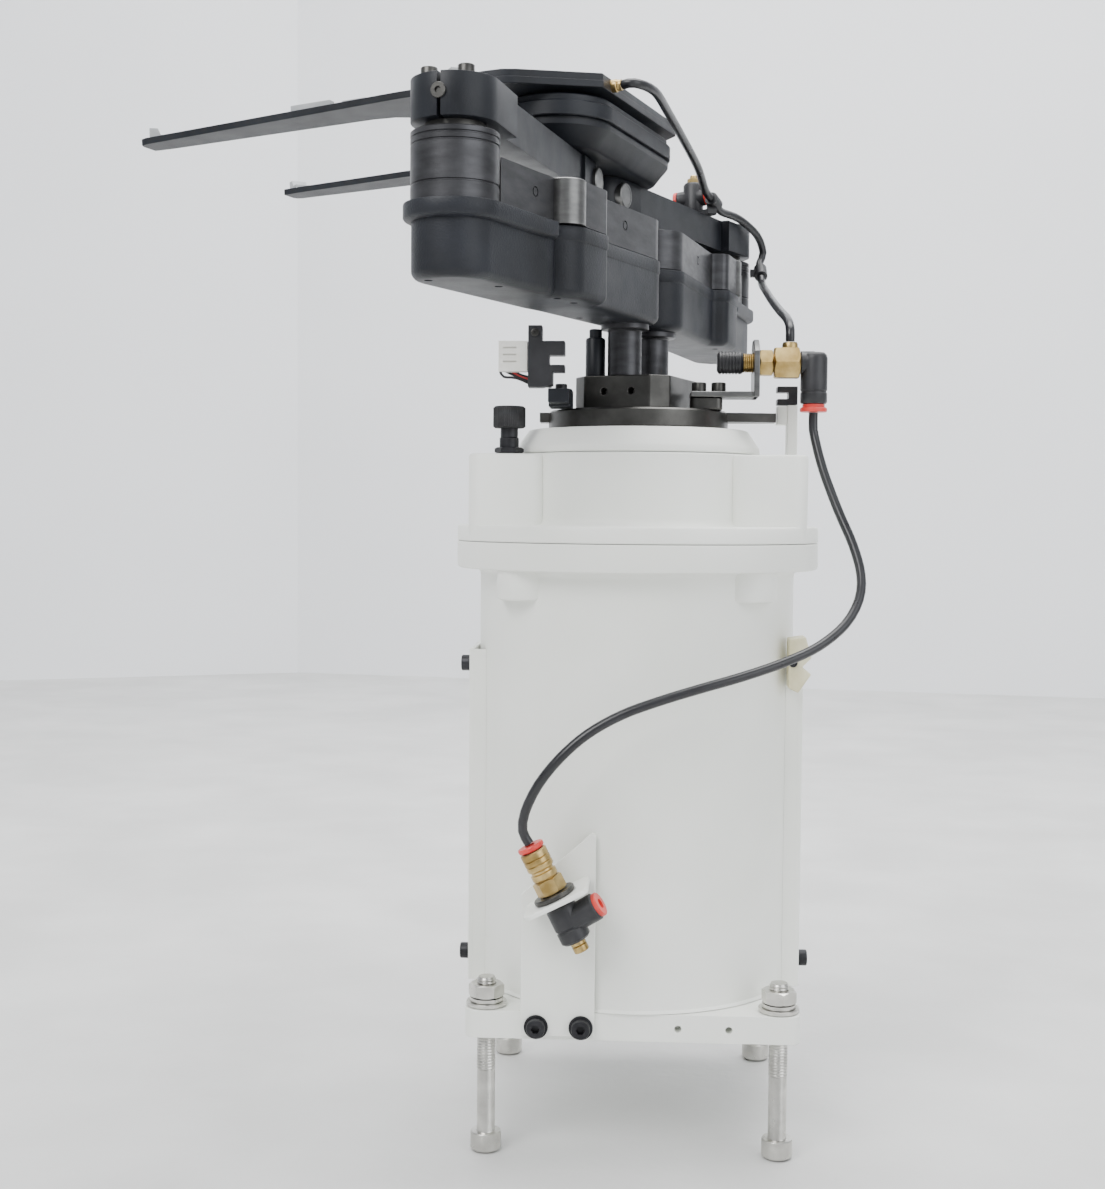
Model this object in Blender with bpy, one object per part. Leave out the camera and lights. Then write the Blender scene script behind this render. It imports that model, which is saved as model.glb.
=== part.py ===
"""Two-link wafer handling robot: a drum with a rotating turret and a pair of belt-driven arms that carry a fork.

Sizes below are in millimetres. The helpers turn them into metres when they build a mesh.
The origin is on the drum's axis, at the underside of the base plate, and +Z is up.
"""
import math

import bmesh
import bpy
from mathutils import Matrix, Vector

for leftover in list(bpy.data.objects):
    bpy.data.objects.remove(leftover, do_unlink=True)

MM = 0.001
GAP = 0.3
DETAIL = 0.6  # share of the full number of sides that a round body is given

# Drum and base
BASE_HALF = 69.5
BASE_TOP = 11.5
DRUM_R = 70.0
DRUM_WALL = 6.0
FLANGE_R = 80.5
SEAM_Z = 205.2
FLANGE_LOW_Z = 193.5
FLANGE_HIGH_Z = 212.5
HOUSING_TOP_Z = 243.5
HOUSING_R = 54.5
CAP_TOP_Z = 254.5
LUG_REACH = 70.0
COLUMN_X = 61.0
COLUMN_Y = 30.0

# Mounting bolts that the drum stands on
BOLT_SPACING = 61.0
BOLT_R = 3.9
BOLT_HEAD_R = 6.5
BOLT_FOOT_Z = -50.0
BOLT_HEAD_H = 8.0
NUT_FLATS = 13.0

# Turret
DISC_R = 40.0
DISC_LOW_Z = 255.0
DISC_TOP_Z = 263.0
BLOCK_TOP_Z = 277.5
ARM_LINE_DEG = 20.0
REST_SPREAD_DEG = 5.0
LINK = 142.0
PIVOT_OFFSET = 18.0

# Arms
ARM_LOW_Z = 300.0
ARM_SEAM_Z = 327.3
ARM_COVER_TOP_Z = 344.7
ELBOW_HOUSING_TOP_Z = 352.6
ELBOW_R = 16.0
FOREARM_LOW_Z = 355.4
FOREARM_TOP_Z = 370.9
WRIST_R = 10.0

# Wrist and fork. The fork droops a little from the wrist to its tips.
CUP_LOW_Z = 371.5
CUP_GROOVE_Z = 382.5
CUP_TOP_Z = 392.3
CUP_HALF = 35.0
CUP_R = 25.0
FORK_Z = 394.0
FORK_DROOP_DEG = 2.7
YOKE_THICK = 6.0
BLADE_THICK = 3.0
WAFER_R = 100.0
TIP_HALF = 60.0
TIP_REACH = 189.0

line = math.radians(ARM_LINE_DEG)
ALONG = Vector((math.sin(line), math.cos(line), 0.0))
FORWARD = Vector((-math.cos(line), math.sin(line), 0.0))
SHOULDER = {"left": -PIVOT_OFFSET * ALONG, "right": PIVOT_OFFSET * ALONG}
REACH = 2 * LINK * math.sin(math.radians(REST_SPREAD_DEG))
WRIST = {side: SHOULDER[side] + REACH * FORWARD for side in SHOULDER}
WRIST_CENTRE = REACH * FORWARD
SIGN = {"left": 1.0, "right": -1.0}
ARM_TURN = {
    "left": math.radians(-90.0 - ARM_LINE_DEG - REST_SPREAD_DEG),
    "right": math.radians(90.0 - ARM_LINE_DEG + REST_SPREAD_DEG),
}


def arm_direction(side):
    turn = ARM_TURN[side]
    return Vector((math.cos(turn), math.sin(turn), 0.0))


ELBOW = {side: SHOULDER[side] + LINK * arm_direction(side) for side in SHOULDER}
FOREARM_TURN = {
    side: math.atan2((WRIST[side] - ELBOW[side]).y, (WRIST[side] - ELBOW[side]).x)
    for side in SHOULDER
}
FORK_TURN = math.atan2(FORWARD.y, FORWARD.x)


# ---------------------------------------------------------------- helpers

materials = {}


def material(name, colour, roughness, metallic=0.0):
    if name not in materials:
        made = bpy.data.materials.new(name)
        made.use_nodes = True
        shader = made.node_tree.nodes["Principled BSDF"]
        shader.inputs["Base Color"].default_value = (*colour, 1.0)
        shader.inputs["Roughness"].default_value = roughness
        shader.inputs["Metallic"].default_value = metallic
        materials[name] = made
    return materials[name]


def white_paint():
    return material("white_paint", (0.80, 0.81, 0.76), 0.5)


def black_anodised():
    return material("black_anodised", (0.045, 0.05, 0.062), 0.42, 0.3)


def bare_steel():
    return material("bare_steel", (0.36, 0.36, 0.37), 0.34, 0.9)


def dark_steel():
    return material("dark_steel", (0.16, 0.155, 0.15), 0.35, 0.9)


def bright_steel():
    return material("bright_steel", (0.62, 0.61, 0.58), 0.3, 1.0)


def black_screw():
    return material("black_screw", (0.02, 0.02, 0.022), 0.45, 0.4)


def brass():
    return material("brass", (0.55, 0.40, 0.16), 0.35, 1.0)


def black_plastic():
    return material("black_plastic", (0.02, 0.02, 0.022), 0.45)


def red_plastic():
    return material("red_plastic", (0.75, 0.06, 0.05), 0.45)


def pale_plastic():
    return material("pale_plastic", (0.80, 0.79, 0.70), 0.5)


def rubber():
    return material("rubber", (0.03, 0.03, 0.032), 0.8)


def place(body, spot=(0, 0, 0), turn=0.0, tilt=None):
    """Sets an object's place in millimetres, with a turn about Z or a full rotation matrix."""
    body.location = Vector(spot) * MM
    if tilt is None:
        body.rotation_euler = (0.0, 0.0, turn)
    else:
        body.rotation_euler = tilt.to_euler()
    return body


def solid(name, mesh_maker, finish, smooth_deg=35.0):
    """One named object from a function that fills a bmesh in millimetres."""
    work = bmesh.new()
    mesh_maker(work)
    bmesh.ops.scale(work, vec=(MM, MM, MM), verts=work.verts)
    bmesh.ops.recalc_face_normals(work, faces=work.faces)
    mesh = bpy.data.meshes.new(name)
    work.to_mesh(mesh)
    work.free()
    mesh.shade_smooth()
    mesh.set_sharp_from_angle(angle=math.radians(smooth_deg))
    body = bpy.data.objects.new(name, mesh)
    bpy.context.collection.objects.link(body)
    if finish:
        mesh.materials.append(finish)
    return body


def add_prism(work, outline, low, high):
    """A closed upright prism over an outline given in order."""
    bottom = [work.verts.new((x, y, low)) for x, y in outline]
    top = [work.verts.new((x, y, high)) for x, y in outline]
    work.faces.new(list(reversed(bottom)))
    work.faces.new(top)
    count = len(outline)
    for i in range(count):
        j = (i + 1) % count
        work.faces.new((bottom[i], bottom[j], top[j], top[i]))


def add_turned(work, profile, steps, matrix=None):
    """A turned body about Z. The profile is (radius, height) pairs; radius 0 closes an end."""
    if steps > 6:
        steps = max(8, 2 * round(steps * DETAIL / 2))
    rings = []
    for radius, height in profile:
        if radius < 1e-6:
            rings.append([work.verts.new((0, 0, height))])
            continue
        ring = []
        for k in range(steps):
            angle = 2 * math.pi * k / steps
            ring.append(work.verts.new((radius * math.cos(angle), radius * math.sin(angle), height)))
        rings.append(ring)
    closed = profile[0][0] > 1e-6 and profile[-1][0] > 1e-6
    pairs = list(zip(rings, rings[1:]))
    if closed:
        pairs.append((rings[-1], rings[0]))
    for one, two in pairs:
        for k in range(steps):
            j = (k + 1) % steps
            corners = [one[k % len(one)], one[j % len(one)], two[j % len(two)], two[k % len(two)]]
            unique = list(dict.fromkeys(corners))
            if len(unique) > 2:
                work.faces.new(unique)
    if matrix is not None:
        verts = [v for ring in rings for v in ring]
        bmesh.ops.transform(work, matrix=matrix, verts=verts)


def turned(name, profile, finish, steps=32, spot=(0, 0, 0)):
    body = solid(name, lambda work: add_turned(work, profile, steps), finish)
    return place(body, spot)


def prism(name, outline, low, high, finish, spot=(0, 0, 0), turn=0.0):
    body = solid(name, lambda work: add_prism(work, outline, low, high), finish)
    return place(body, spot, turn)


def rectangle(x0, x1, y0, y1):
    return [(x0, y0), (x1, y0), (x1, y1), (x0, y1)]


def arc(cx, cy, radius, start_deg, end_deg, steps):
    points = []
    for k in range(steps + 1):
        angle = math.radians(start_deg + (end_deg - start_deg) * k / steps)
        points.append((cx + radius * math.cos(angle), cy + radius * math.sin(angle)))
    return points


def rounded(x0, x1, y0, y1, radius, steps=3):
    """A rectangle with round corners."""
    points = arc(x1 - radius, y0 + radius, radius, -90, 0, steps)
    points += arc(x1 - radius, y1 - radius, radius, 0, 90, steps)
    points += arc(x0 + radius, y1 - radius, radius, 90, 180, steps)
    points += arc(x0 + radius, y0 + radius, radius, 180, 270, steps)
    return points


def polygon(radius, sides, turn_deg=0.0):
    return arc(0, 0, radius, turn_deg, turn_deg + 360.0 * (sides - 1) / sides, sides - 1)


def link_outline(length, near_r, far_r, steps=12):
    """Two circles joined by their outer tangents: a tapered link along +X."""
    lean = math.degrees(math.asin((near_r - far_r) / length))
    points = arc(0, 0, near_r, 90 - lean, 270 + lean, steps)
    points += arc(length, 0, far_r, -90 + lean, 90 - lean, steps)
    return points


def cut(body, cutter):
    """Takes a hidden cutter away from a body."""
    cutter.hide_render = True
    cutter.display_type = "WIRE"
    change = body.modifiers.new("cut", "BOOLEAN")
    change.operation = "DIFFERENCE"
    change.object = cutter
    return body


def join(body, extra):
    """Adds a hidden shape to a body, as one solid."""
    extra.hide_render = True
    extra.display_type = "WIRE"
    change = body.modifiers.new("join", "BOOLEAN")
    change.operation = "UNION"
    change.object = extra
    return body


def bevel(body, width, segments=2, angle_deg=40.0):
    change = body.modifiers.new("bevel", "BEVEL")
    change.width = width * MM
    change.segments = segments
    change.limit_method = "ANGLE"
    change.angle_limit = math.radians(angle_deg)
    change.harden_normals = False
    return body


def tilt_to(direction):
    """Rotation that takes +Z to a direction."""
    return Vector((0, 0, 1)).rotation_difference(Vector(direction)).to_matrix()


def turned_at(name, profile, finish, steps, matrix):
    """A turned body along any axis."""
    return solid(name, lambda work: add_turned(work, profile, steps, matrix), finish)


def at(spot, direction=(0, 0, 1)):
    return Matrix.Translation(Vector(spot)) @ tilt_to(direction).to_4x4()


def cap_screw_profile(head_r, head_h, shank_r, shank_length, socket_r, socket_depth):
    """A socket head cap screw, head up, with its seat at height 0."""
    edge = 0.12 * head_r
    return [
        (0, -shank_length),
        (shank_r, -shank_length),
        (shank_r, 0),
        (head_r, 0),
        (head_r, head_h - edge),
        (head_r - edge, head_h),
        (socket_r, head_h),
        (socket_r, head_h - socket_depth),
        (0, head_h - socket_depth),
    ]


def head_profile(head_r, head_h, root=1.0):
    """The head of a cap screw, with a short root that sinks into the piece it fastens."""
    return [(0, -root), (head_r, -root), (head_r, head_h), (0, head_h)]


# ---------------------------------------------------------------- base and drum

CORNERS = [(sx * BOLT_SPACING, sy * BOLT_SPACING) for sx in (-1, 1) for sy in (-1, 1)]


SOCKET_RECESS = 3.0


def base_plate():
    outline = rounded(-BASE_HALF, BASE_HALF, -BASE_HALF, BASE_HALF, 5.0)
    plate = prism("base_plate", outline, 0.0, BASE_TOP, white_paint())
    for i, (x, y) in enumerate(CORNERS):
        cut(plate, turned(f"cut_bolt_{i}", [(0, -2), (5.0, -2), (5.0, 14), (0, 14)], None, 16, (x, y, 0)))
    recess = prism("cut_sockets", rounded(-20.6, 38.6, 2.4, 29.6, 4.5), -1.0, SOCKET_RECESS, None)
    cut(plate, recess)
    return plate


def drum_housing():
    inner = DRUM_R - DRUM_WALL
    profile = [
        (inner, BASE_TOP + GAP),
        (DRUM_R, BASE_TOP + GAP),
        (DRUM_R, FLANGE_LOW_Z - 3.0),
        (DRUM_R + 3.0, FLANGE_LOW_Z),
        (FLANGE_R - 1.5, FLANGE_LOW_Z),
        (FLANGE_R, FLANGE_LOW_Z + 1.5),
        (FLANGE_R, SEAM_Z),
        (inner, SEAM_Z),
    ]
    drum = turned("drum_housing", profile, white_paint(), 48)
    for i in range(4):
        angle = math.radians(45 + 90 * i)
        spot = ((LUG_REACH - 3.0) * math.cos(angle), (LUG_REACH - 3.0) * math.sin(angle), 0)
        lug = [(0, 181.0), (10.5, 181.0), (11.5, 182.0), (11.5, FLANGE_LOW_Z + 2.0), (0, FLANGE_LOW_Z + 2.0)]
        join(drum, turned(f"lug_{i}", lug, None, 16, spot))
    clear = [(0, BASE_TOP - 1), (inner - 0.2, BASE_TOP - 1), (inner - 0.2, SEAM_Z + 1), (0, SEAM_Z + 1)]
    cut(drum, turned("cut_drum", clear, None, 48))
    return drum


def upper_housing():
    inner = HOUSING_R - 5.0
    profile = [
        (inner, SEAM_Z + GAP),
        (FLANGE_R, SEAM_Z + GAP),
        (FLANGE_R, FLANGE_HIGH_Z - 1.5),
        (FLANGE_R - 1.5, FLANGE_HIGH_Z),
        (HOUSING_R, FLANGE_HIGH_Z),
        (HOUSING_R, HOUSING_TOP_Z),
        (inner, HOUSING_TOP_Z),
    ]
    housing = turned("upper_housing", profile, white_paint(), 48)
    for i, (sx, sy) in enumerate([(-1, -1), (1, -1), (1, 1), (-1, 1)]):
        x0, x1 = sorted((sx * 40.0, sx * (COLUMN_X + 11.5)))
        y0, y1 = sorted((sy * (COLUMN_Y - 12.0), sy * (COLUMN_Y + 11.0)))
        column = prism(f"column_{i}", rounded(x0, x1, y0, y1, 7.0, 4), FLANGE_HIGH_Z - 2.0,
                       HOUSING_TOP_Z - 0.5, None)
        join(housing, column)
    hollow = [(0, SEAM_Z - 1), (inner - 0.2, SEAM_Z - 1), (inner - 0.2, HOUSING_TOP_Z + 1),
              (0, HOUSING_TOP_Z + 1)]
    cut(housing, turned("cut_housing", hollow, None, 48))
    return housing


def top_cap():
    low = HOUSING_TOP_Z + GAP
    profile = [
        (21.0, low),
        (54.2, low),
        (54.2, low + 3.0),
        (48.5, CAP_TOP_Z),
        (21.0, CAP_TOP_Z),
    ]
    return turned("top_cap", profile, white_paint(), 48)


def side_covers():
    """Two thin covers, one on each side of the drum, each with its cap screws."""
    for side, sx in (("left", -1), ("right", 1)):
        x0, x1 = sorted((sx * (DRUM_R + GAP), sx * (DRUM_R + 2.6)))
        cover = prism(f"side_cover_{side}", rectangle(x0, x1, -26.0, 26.0), BASE_TOP + GAP, 158.5, white_paint())
        heights = (23.0, 151.5) if sx < 0 else (23.0,)
        for z in heights:
            for y in (-20.0, 20.0):
                spot = (sx * (DRUM_R + 2.6), y, z)
                join(cover, turned_at("screw", head_profile(3.5, 4.0), black_screw(), 16, at(spot, (sx, 0, 0))))


def mounting_bolts():
    """Four long bolts, head down, each with its washer and hexagon nut on the plate."""
    under = BOLT_FOOT_Z + BOLT_HEAD_H
    profile = [
        (0, BOLT_FOOT_Z),
        (BOLT_HEAD_R, BOLT_FOOT_Z),
        (BOLT_HEAD_R, under),
        (BOLT_R, under),
        (BOLT_R, 24.0),
        (0, 24.0),
    ]
    seat = BASE_TOP + GAP
    outer_r = NUT_FLATS / 2 / math.cos(math.pi / 6)
    for i, (x, y) in enumerate(CORNERS):
        bolt = turned(f"mounting_bolt_{i + 1}", profile, bright_steel(), 20, (x, y, 0))
        join(bolt, turned("washer", [(0, seat), (8.5, seat), (8.5, seat + 2.5), (0, seat + 2.5)], None, 24, (x, y, 0)))
        join(bolt, turned("nut", [(0, seat + 1.5), (outer_r, seat + 1.5), (outer_r, seat + 9.0), (0, seat + 9.0)],
                          None, 6, (x, y, 0)))


# ---------------------------------------------------------------- inside the drum

MOTOR_LOW_Z = 14.0
MOTOR_TOP_Z = 96.0


def turn_motor():
    """The motor that turns the turret, upright on the base plate."""
    profile = [
        (0, MOTOR_LOW_Z),
        (28.0, MOTOR_LOW_Z),
        (28.0, MOTOR_TOP_Z),
        (6.0, MOTOR_TOP_Z),
        (6.0, MOTOR_TOP_Z + 14.0),
        (0, MOTOR_TOP_Z + 14.0),
    ]
    return turned("turn_motor", profile, black_anodised(), 32)


def spindle():
    """The turret's spindle, which hangs from the disc through the cap and ends in a flange on the gearbox."""
    low = MOTOR_TOP_Z + 15.0
    profile = [
        (0, low),
        (18.0, low),
        (18.0, low + 10.0),
        (14.0, low + 10.0),
        (14.0, DISC_LOW_Z - GAP),
        (0, DISC_LOW_Z - GAP),
    ]
    return turned("spindle", profile, bare_steel(), 24)


def spindle_bearings():
    """The web across the drum with the lower bearing in it, and the upper bearing in the cap."""
    outer = DRUM_R - DRUM_WALL - 0.9
    turned("bearing_web", [(14.5, 148.0), (outer, 148.0), (outer, 159.0), (14.5, 159.0)], bare_steel(), 32)
    turned("upper_bearing", [(14.5, 246.0), (20.5, 246.0), (20.5, 253.0), (14.5, 253.0)], bare_steel(), 32)


def arm_motor():
    """The motor that opens and closes the arms, beside the spindle in the upper housing."""
    profile = [(0, 159.3), (15.5, 159.3), (15.5, 222.0), (5.0, 222.0), (5.0, 236.0), (0, 236.0)]
    return turned("arm_motor", profile, black_anodised(), 24, (0, 33.0, 0))


def cable_sockets():
    """Round cable sockets on a panel let into the underside of the base plate."""
    panel = prism("cable_sockets", rounded(-20.0, 38.0, 3.0, 29.0, 4.0), GAP, SOCKET_RECESS - GAP, black_plastic())
    for x, y, r, depth in ((12.0, 12.0, 9.0, 21.0), (-11.0, 16.0, 5.0, 14.0), (30.0, 20.0, 6.0, 13.0)):
        profile = [
            (0, -depth),
            (r, -depth),
            (r, 1.4),
            (0, 1.4),
        ]
        join(panel, turned("socket", profile, None, 20, (x, y, 0)))
    return panel


# ---------------------------------------------------------------- fixed trim

FITTING_AXIS = Vector((-0.45, 0.0, 0.893)).normalized()
FITTING_SPOT = Vector((-31.0, -86.0, 63.5))
PLATE_Y = -BASE_HALF - GAP
PLATE_THICK = 2.0


def tube_bracket():
    """The painted plate on the front of the base, with a slanted tab that holds the supply fitting."""
    outline = [(-46.0, 2.0), (-15.4, 2.0), (-15.4, 86.0), (-17.0, 87.0), (-46.0, 61.0)]
    plate = prism("tube_bracket", outline, 0.0, PLATE_THICK, white_paint())
    place(plate, (0, PLATE_Y, 0), tilt=Matrix.Rotation(math.radians(90), 3, "X"))
    tab = prism("tab", rounded(-14.0, 14.0, -12.0, 14.5, 4.0), -PLATE_THICK, 0.0, None)
    lean = Matrix.Rotation(-math.atan2(-FITTING_AXIS.x, FITTING_AXIS.z), 3, "Y")
    place(tab, FITTING_SPOT + Vector((0, 1.0, 0)), tilt=lean)
    join(plate, tab)
    hole = turned("cut_tab", [(0, -6), (4.9, -6), (4.9, 6), (0, 6)], None, 16)
    place(hole, FITTING_SPOT, tilt=lean)
    cut(plate, hole)
    for x in (-39.5, -21.0):
        spot = (x, PLATE_Y - PLATE_THICK, 6.0)
        join(plate, turned_at("screw", head_profile(3.9, 4.2), black_screw(), 16, at(spot, (0, -1, 0))))
    return plate


def supply_fitting():
    """The bulkhead fitting on the tab: brass above, a black elbow below, a red ring at the tube."""
    axis = at(FITTING_SPOT, FITTING_AXIS)
    side = Vector((0.83, -0.15, 0.53)).normalized()
    joint = at(FITTING_SPOT - 11.0 * FITTING_AXIS, side)
    body = turned_at("supply_brass", [
        (0, -3.0), (4.2, -3.0), (4.2, 9.0), (5.2, 9.6), (5.2, 14.0), (5.6, 14.6), (5.6, 21.0), (0, 21.0)],
        brass(), 20, axis)
    join(body, turned_at("nut", [(0, 1.8), (6.3, 1.8), (6.3, 8.7), (0, 8.7)], None, 6, axis))
    join(body, turned_at("washer", [(0, GAP), (8.8, GAP), (8.8, 2.3), (0, 2.3)], None, 24, axis))
    elbow = turned_at("supply_elbow", [
        (0, -24.0), (3.2, -24.0), (3.2, -19.0), (6.3, -18.4), (6.3, -3.3), (0, -3.3)],
        black_plastic(), 20, axis)
    join(elbow, turned_at("barrel", [
        (0, 0), (5.6, 0), (5.4, 15.6), (0, 15.6)], None, 20, joint))
    turned_at("supply_ring", [(0, 21.3), (4.6, 21.3), (5.5, 22.3), (5.5, 23.6), (0, 23.6)], red_plastic(), 20, axis)


BUMPER = (-55.5, -29.0)


def rotation_bumper():
    """The rubber-headed stop on top of the housing that ends the turret's turn."""
    low = HOUSING_TOP_Z - 0.5 + GAP
    profile = [
        (0, low), (6.0, low), (6.0, low + 2.0), (4.4, low + 2.0), (4.4, 254.2), (7.0, 254.2), (7.0, 263.6),
        (0, 263.6)]
    turned("rotation_bumper", profile, rubber(), 24, (*BUMPER, 0))


def home_sensor():
    """The painted post on the housing and the light gate on it that finds the turret's home position."""
    post = prism("sensor_post", rectangle(66.5, 71.0, 0.0, 9.0), FLANGE_HIGH_Z + GAP, 266.5, white_paint())
    shelf = prism("shelf", rectangle(62.0, 70.8, 0.3, 8.7), 258.0, 266.2, None)
    join(post, shelf)
    outline = [(62.0, 266.8), (71.0, 266.8), (71.0, 275.0), (62.0, 275.0), (62.0, 272.4), (67.0, 272.4),
               (67.0, 269.4), (62.0, 269.4)]
    gate = prism("home_sensor", outline, 0.0, 8.4, black_plastic())
    return place(gate, (0, 9.2, 0), tilt=Matrix.Rotation(math.radians(90), 3, "X"))


def cable_clip():
    """A nylon cable clip and its screw on the right of the drum."""
    low = DRUM_R + GAP
    outline = [(low, 144.0), (low + 4.0, 142.0), (low + 9.5, 150.0), (low + 5.5, 153.0), (low + 9.5, 157.0),
               (low + 7.0, 166.0), (low, 165.0)]
    clip = prism("cable_clip", outline, -6.0, 6.0, pale_plastic())
    return place(clip, (-5.1, -33.0, 0), tilt=Matrix.Rotation(math.radians(90), 3, "X"))


# ---------------------------------------------------------------- turret

BLOCK_TURN = math.radians(-ARM_LINE_DEG)


def turret_disc():
    profile = [(0, DISC_LOW_Z), (DISC_R, DISC_LOW_Z), (DISC_R, DISC_TOP_Z - 0.8), (DISC_R - 0.8, DISC_TOP_Z),
               (0, DISC_TOP_Z)]
    disc = turned("turret_disc", profile, dark_steel(), 48)
    arm = [(30.0, -9.0), (46.0, -8.0), (61.0, -5.0), (61.0, 5.0), (46.0, 8.0), (30.0, 9.0)]
    join(disc, prism("stop_arm", arm, 258.6, 262.6, None))
    join(disc, prism("stop_lug", rectangle(-43.8, -36.0, -6.0, 5.0), 258.2, 262.4, None))
    join(disc, prism("spacer", rounded(22.6, 36.5, -24.0, -7.5, 3.0), DISC_TOP_Z - 2.0, 268.0, None))
    return disc


def turret_block():
    x, y, c = 22.0, 27.5, 7.0
    outline = [(x, -y + c), (x, y - c), (x - c, y), (-x + c, y), (-x, y - c), (-x, -y + c), (-x + c, -y),
               (x - c, -y)]
    block = prism("turret_block", outline, DISC_TOP_Z + GAP, BLOCK_TOP_Z, dark_steel(), turn=BLOCK_TURN)
    for i, across in enumerate((-6.0, 6.5)):
        hole = solid(f"cut_dowel_{i}", lambda work, a=across: add_turned(
            work, [(0, -5), (1.4, -5), (1.4, 5), (0, 5)], 12, at((a, -y, 270.6), (0, 1, 0))), None)
        cut(block, place(hole, turn=BLOCK_TURN))
    return block


SENSOR_Y = (-46.0, -38.0)


def arm_sensor():
    """A light gate beside the turret block, its plug, its bracket and the post that stops the arms."""
    y0, y1 = SENSOR_Y
    flat = Matrix.Rotation(math.radians(90), 3, "X")
    outline = [(-46.5, 270.6), (-40.6, 270.6), (-36.0, 271.5), (-36.0, 277.0), (-31.0, 277.0), (-31.0, 280.0),
               (-37.5, 280.0), (-37.5, 284.0), (-31.0, 284.0), (-31.0, 290.0), (-40.6, 290.0),
               (-40.6, 296.5), (-46.5, 296.5)]
    gate = prism("arm_sensor", outline, 0.0, y1 - y0, black_plastic())
    place(gate, (0, y1, 0), tilt=flat)
    bracket = prism("sensor_bracket", rounded(-38.5, -28.4, -33.5, -16.0, 2.0), DISC_TOP_Z + GAP, 271.0,
                    black_anodised())
    join(bracket, prism("bracket_arm", rectangle(-38.0, -29.0, -46.0, -26.0), 264.2, 270.2, None))
    shell = prism("sensor_plug", rectangle(-59.0, -46.9, 277.3, 290.0), 0.0, 6.0, pale_plastic())
    place(shell, (0, y1 - 1.0, 0), tilt=flat)
    post = [(0, BLOCK_TOP_Z + GAP), (4.3, BLOCK_TOP_Z + GAP), (4.3, 294.5), (2.8, 295.0), (2.8, 298.5),
            (0, 298.5)]
    turned("arm_stop_post", post, black_anodised(), 20, (-19.0, -13.0, 0))


TURRET_PORT = (76.0, -18.0)
UNION_Z = 283.5


def turret_bracket():
    """The angle plate that carries the bulkhead union over the turret's right side."""
    bar = prism("turret_bracket", rectangle(22.6, 56.0, -25.0, -7.0), 268.3, 270.8, bare_steel())
    upright = prism("upright", [(-28.0, 269.0), (-7.0, 269.0), (-7.0, 288.0), (-12.0, 293.4), (-20.0, 293.4),
                                (-28.0, 288.0)], 0.0, 2.4, None)
    place(upright, (49.6, 0, 0), tilt=Matrix(((0, 0, 1), (1, 0, 0), (0, 1, 0))))
    join(bar, upright)
    hole = solid("cut_union", lambda work: add_turned(
        work, [(0, -6), (4.9, -6), (4.9, 6), (0, 6)], 20, at((51.0, TURRET_PORT[1], UNION_Z), (1, 0, 0))), None)
    cut(bar, hole)
    for x in (26.5, 35.0):
        join(bar, turned("screw", head_profile(3.2, 4.4), dark_steel(), 16, (x, -15.0, 270.8)))
    return bar


def turret_union():
    """The bulkhead union along +X, its elbow, and the small top port that feeds the arm's tube."""
    x_end, y = TURRET_PORT
    sideways = at((0, y, UNION_Z), (1, 0, 0))
    flat_up = sideways @ Matrix.Rotation(math.pi / 6, 4, "Z")
    top = UNION_Z + 7.4 * math.cos(math.pi / 6)
    body = turned_at("union_body", [
        (0, 34.0), (4.9, 34.6), (4.9, 44.4), (4.2, 45.4), (4.2, 69.9), (0, 69.9)], brass(), 20, sideways)
    join(body, turned_at("nut", [(0, 52.3), (6.2, 52.3), (6.2, 58.0), (0, 58.0)], None, 6, flat_up))
    join(body, turned_at("hex", [(0, 58.6), (7.4, 58.6), (7.4, 69.6), (0, 69.6)], None, 6, flat_up))
    join(body, turned("port", [(0, top - 1.5), (3.4, top - 1.5), (3.4, top + 2.6), (0, top + 2.6)], None, 16,
                      (65.5, y, 0)))
    elbow = turned("union_elbow", [(0, 266.0), (5.8, 266.0), (5.8, 286.6), (4.6, 288.2),
                                   (0, 288.2)], black_plastic(), 24, (x_end, y, 0))
    join(elbow, turned_at("inlet", [(0, 70.3), (5.2, 70.3), (5.2, 76.0), (0, 76.0)], None, 20, sideways))
    turned("union_ring", [(0, 262.4), (5.9, 262.4), (5.9, 264.0), (4.8, 265.7), (0, 265.7)], red_plastic(), 24,
           (x_end, y, 0))


# ---------------------------------------------------------------- arms

def inset(outline, distance):
    """The outline moved inward; it runs counterclockwise."""
    moved = []
    count = len(outline)
    for i in range(count):
        before = Vector(outline[i - 1])
        here = Vector(outline[i])
        after = Vector(outline[(i + 1) % count])
        one = (here - before).normalized()
        two = (after - here).normalized()
        normal = Vector((-(one.y + two.y), one.x + two.x))
        if normal.length < 1e-6:
            normal = Vector((-one.y, one.x))
        normal.normalize()
        share = max(0.5, normal.dot(Vector((-one.y, one.x))))
        moved.append(tuple(here + normal * distance / share))
    return moved


def add_levels(work, outline, levels):
    """A closed body through copies of an outline; levels are (height, inset) from low to high."""
    rings = []
    for height, distance in levels:
        shape = inset(outline, distance) if distance else outline
        rings.append([work.verts.new((x, y, height)) for x, y in shape])
    work.faces.new(list(reversed(rings[0])))
    work.faces.new(rings[-1])
    count = len(outline)
    for low, high in zip(rings, rings[1:]):
        for i in range(count):
            j = (i + 1) % count
            work.faces.new((low[i], low[j], high[j], high[i]))


def mirrored(outline, sign):
    """The outline for the left arm as it is, or turned over for the right arm."""
    if sign > 0:
        return outline
    return [(x, -y) for x, y in reversed(outline)]


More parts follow.
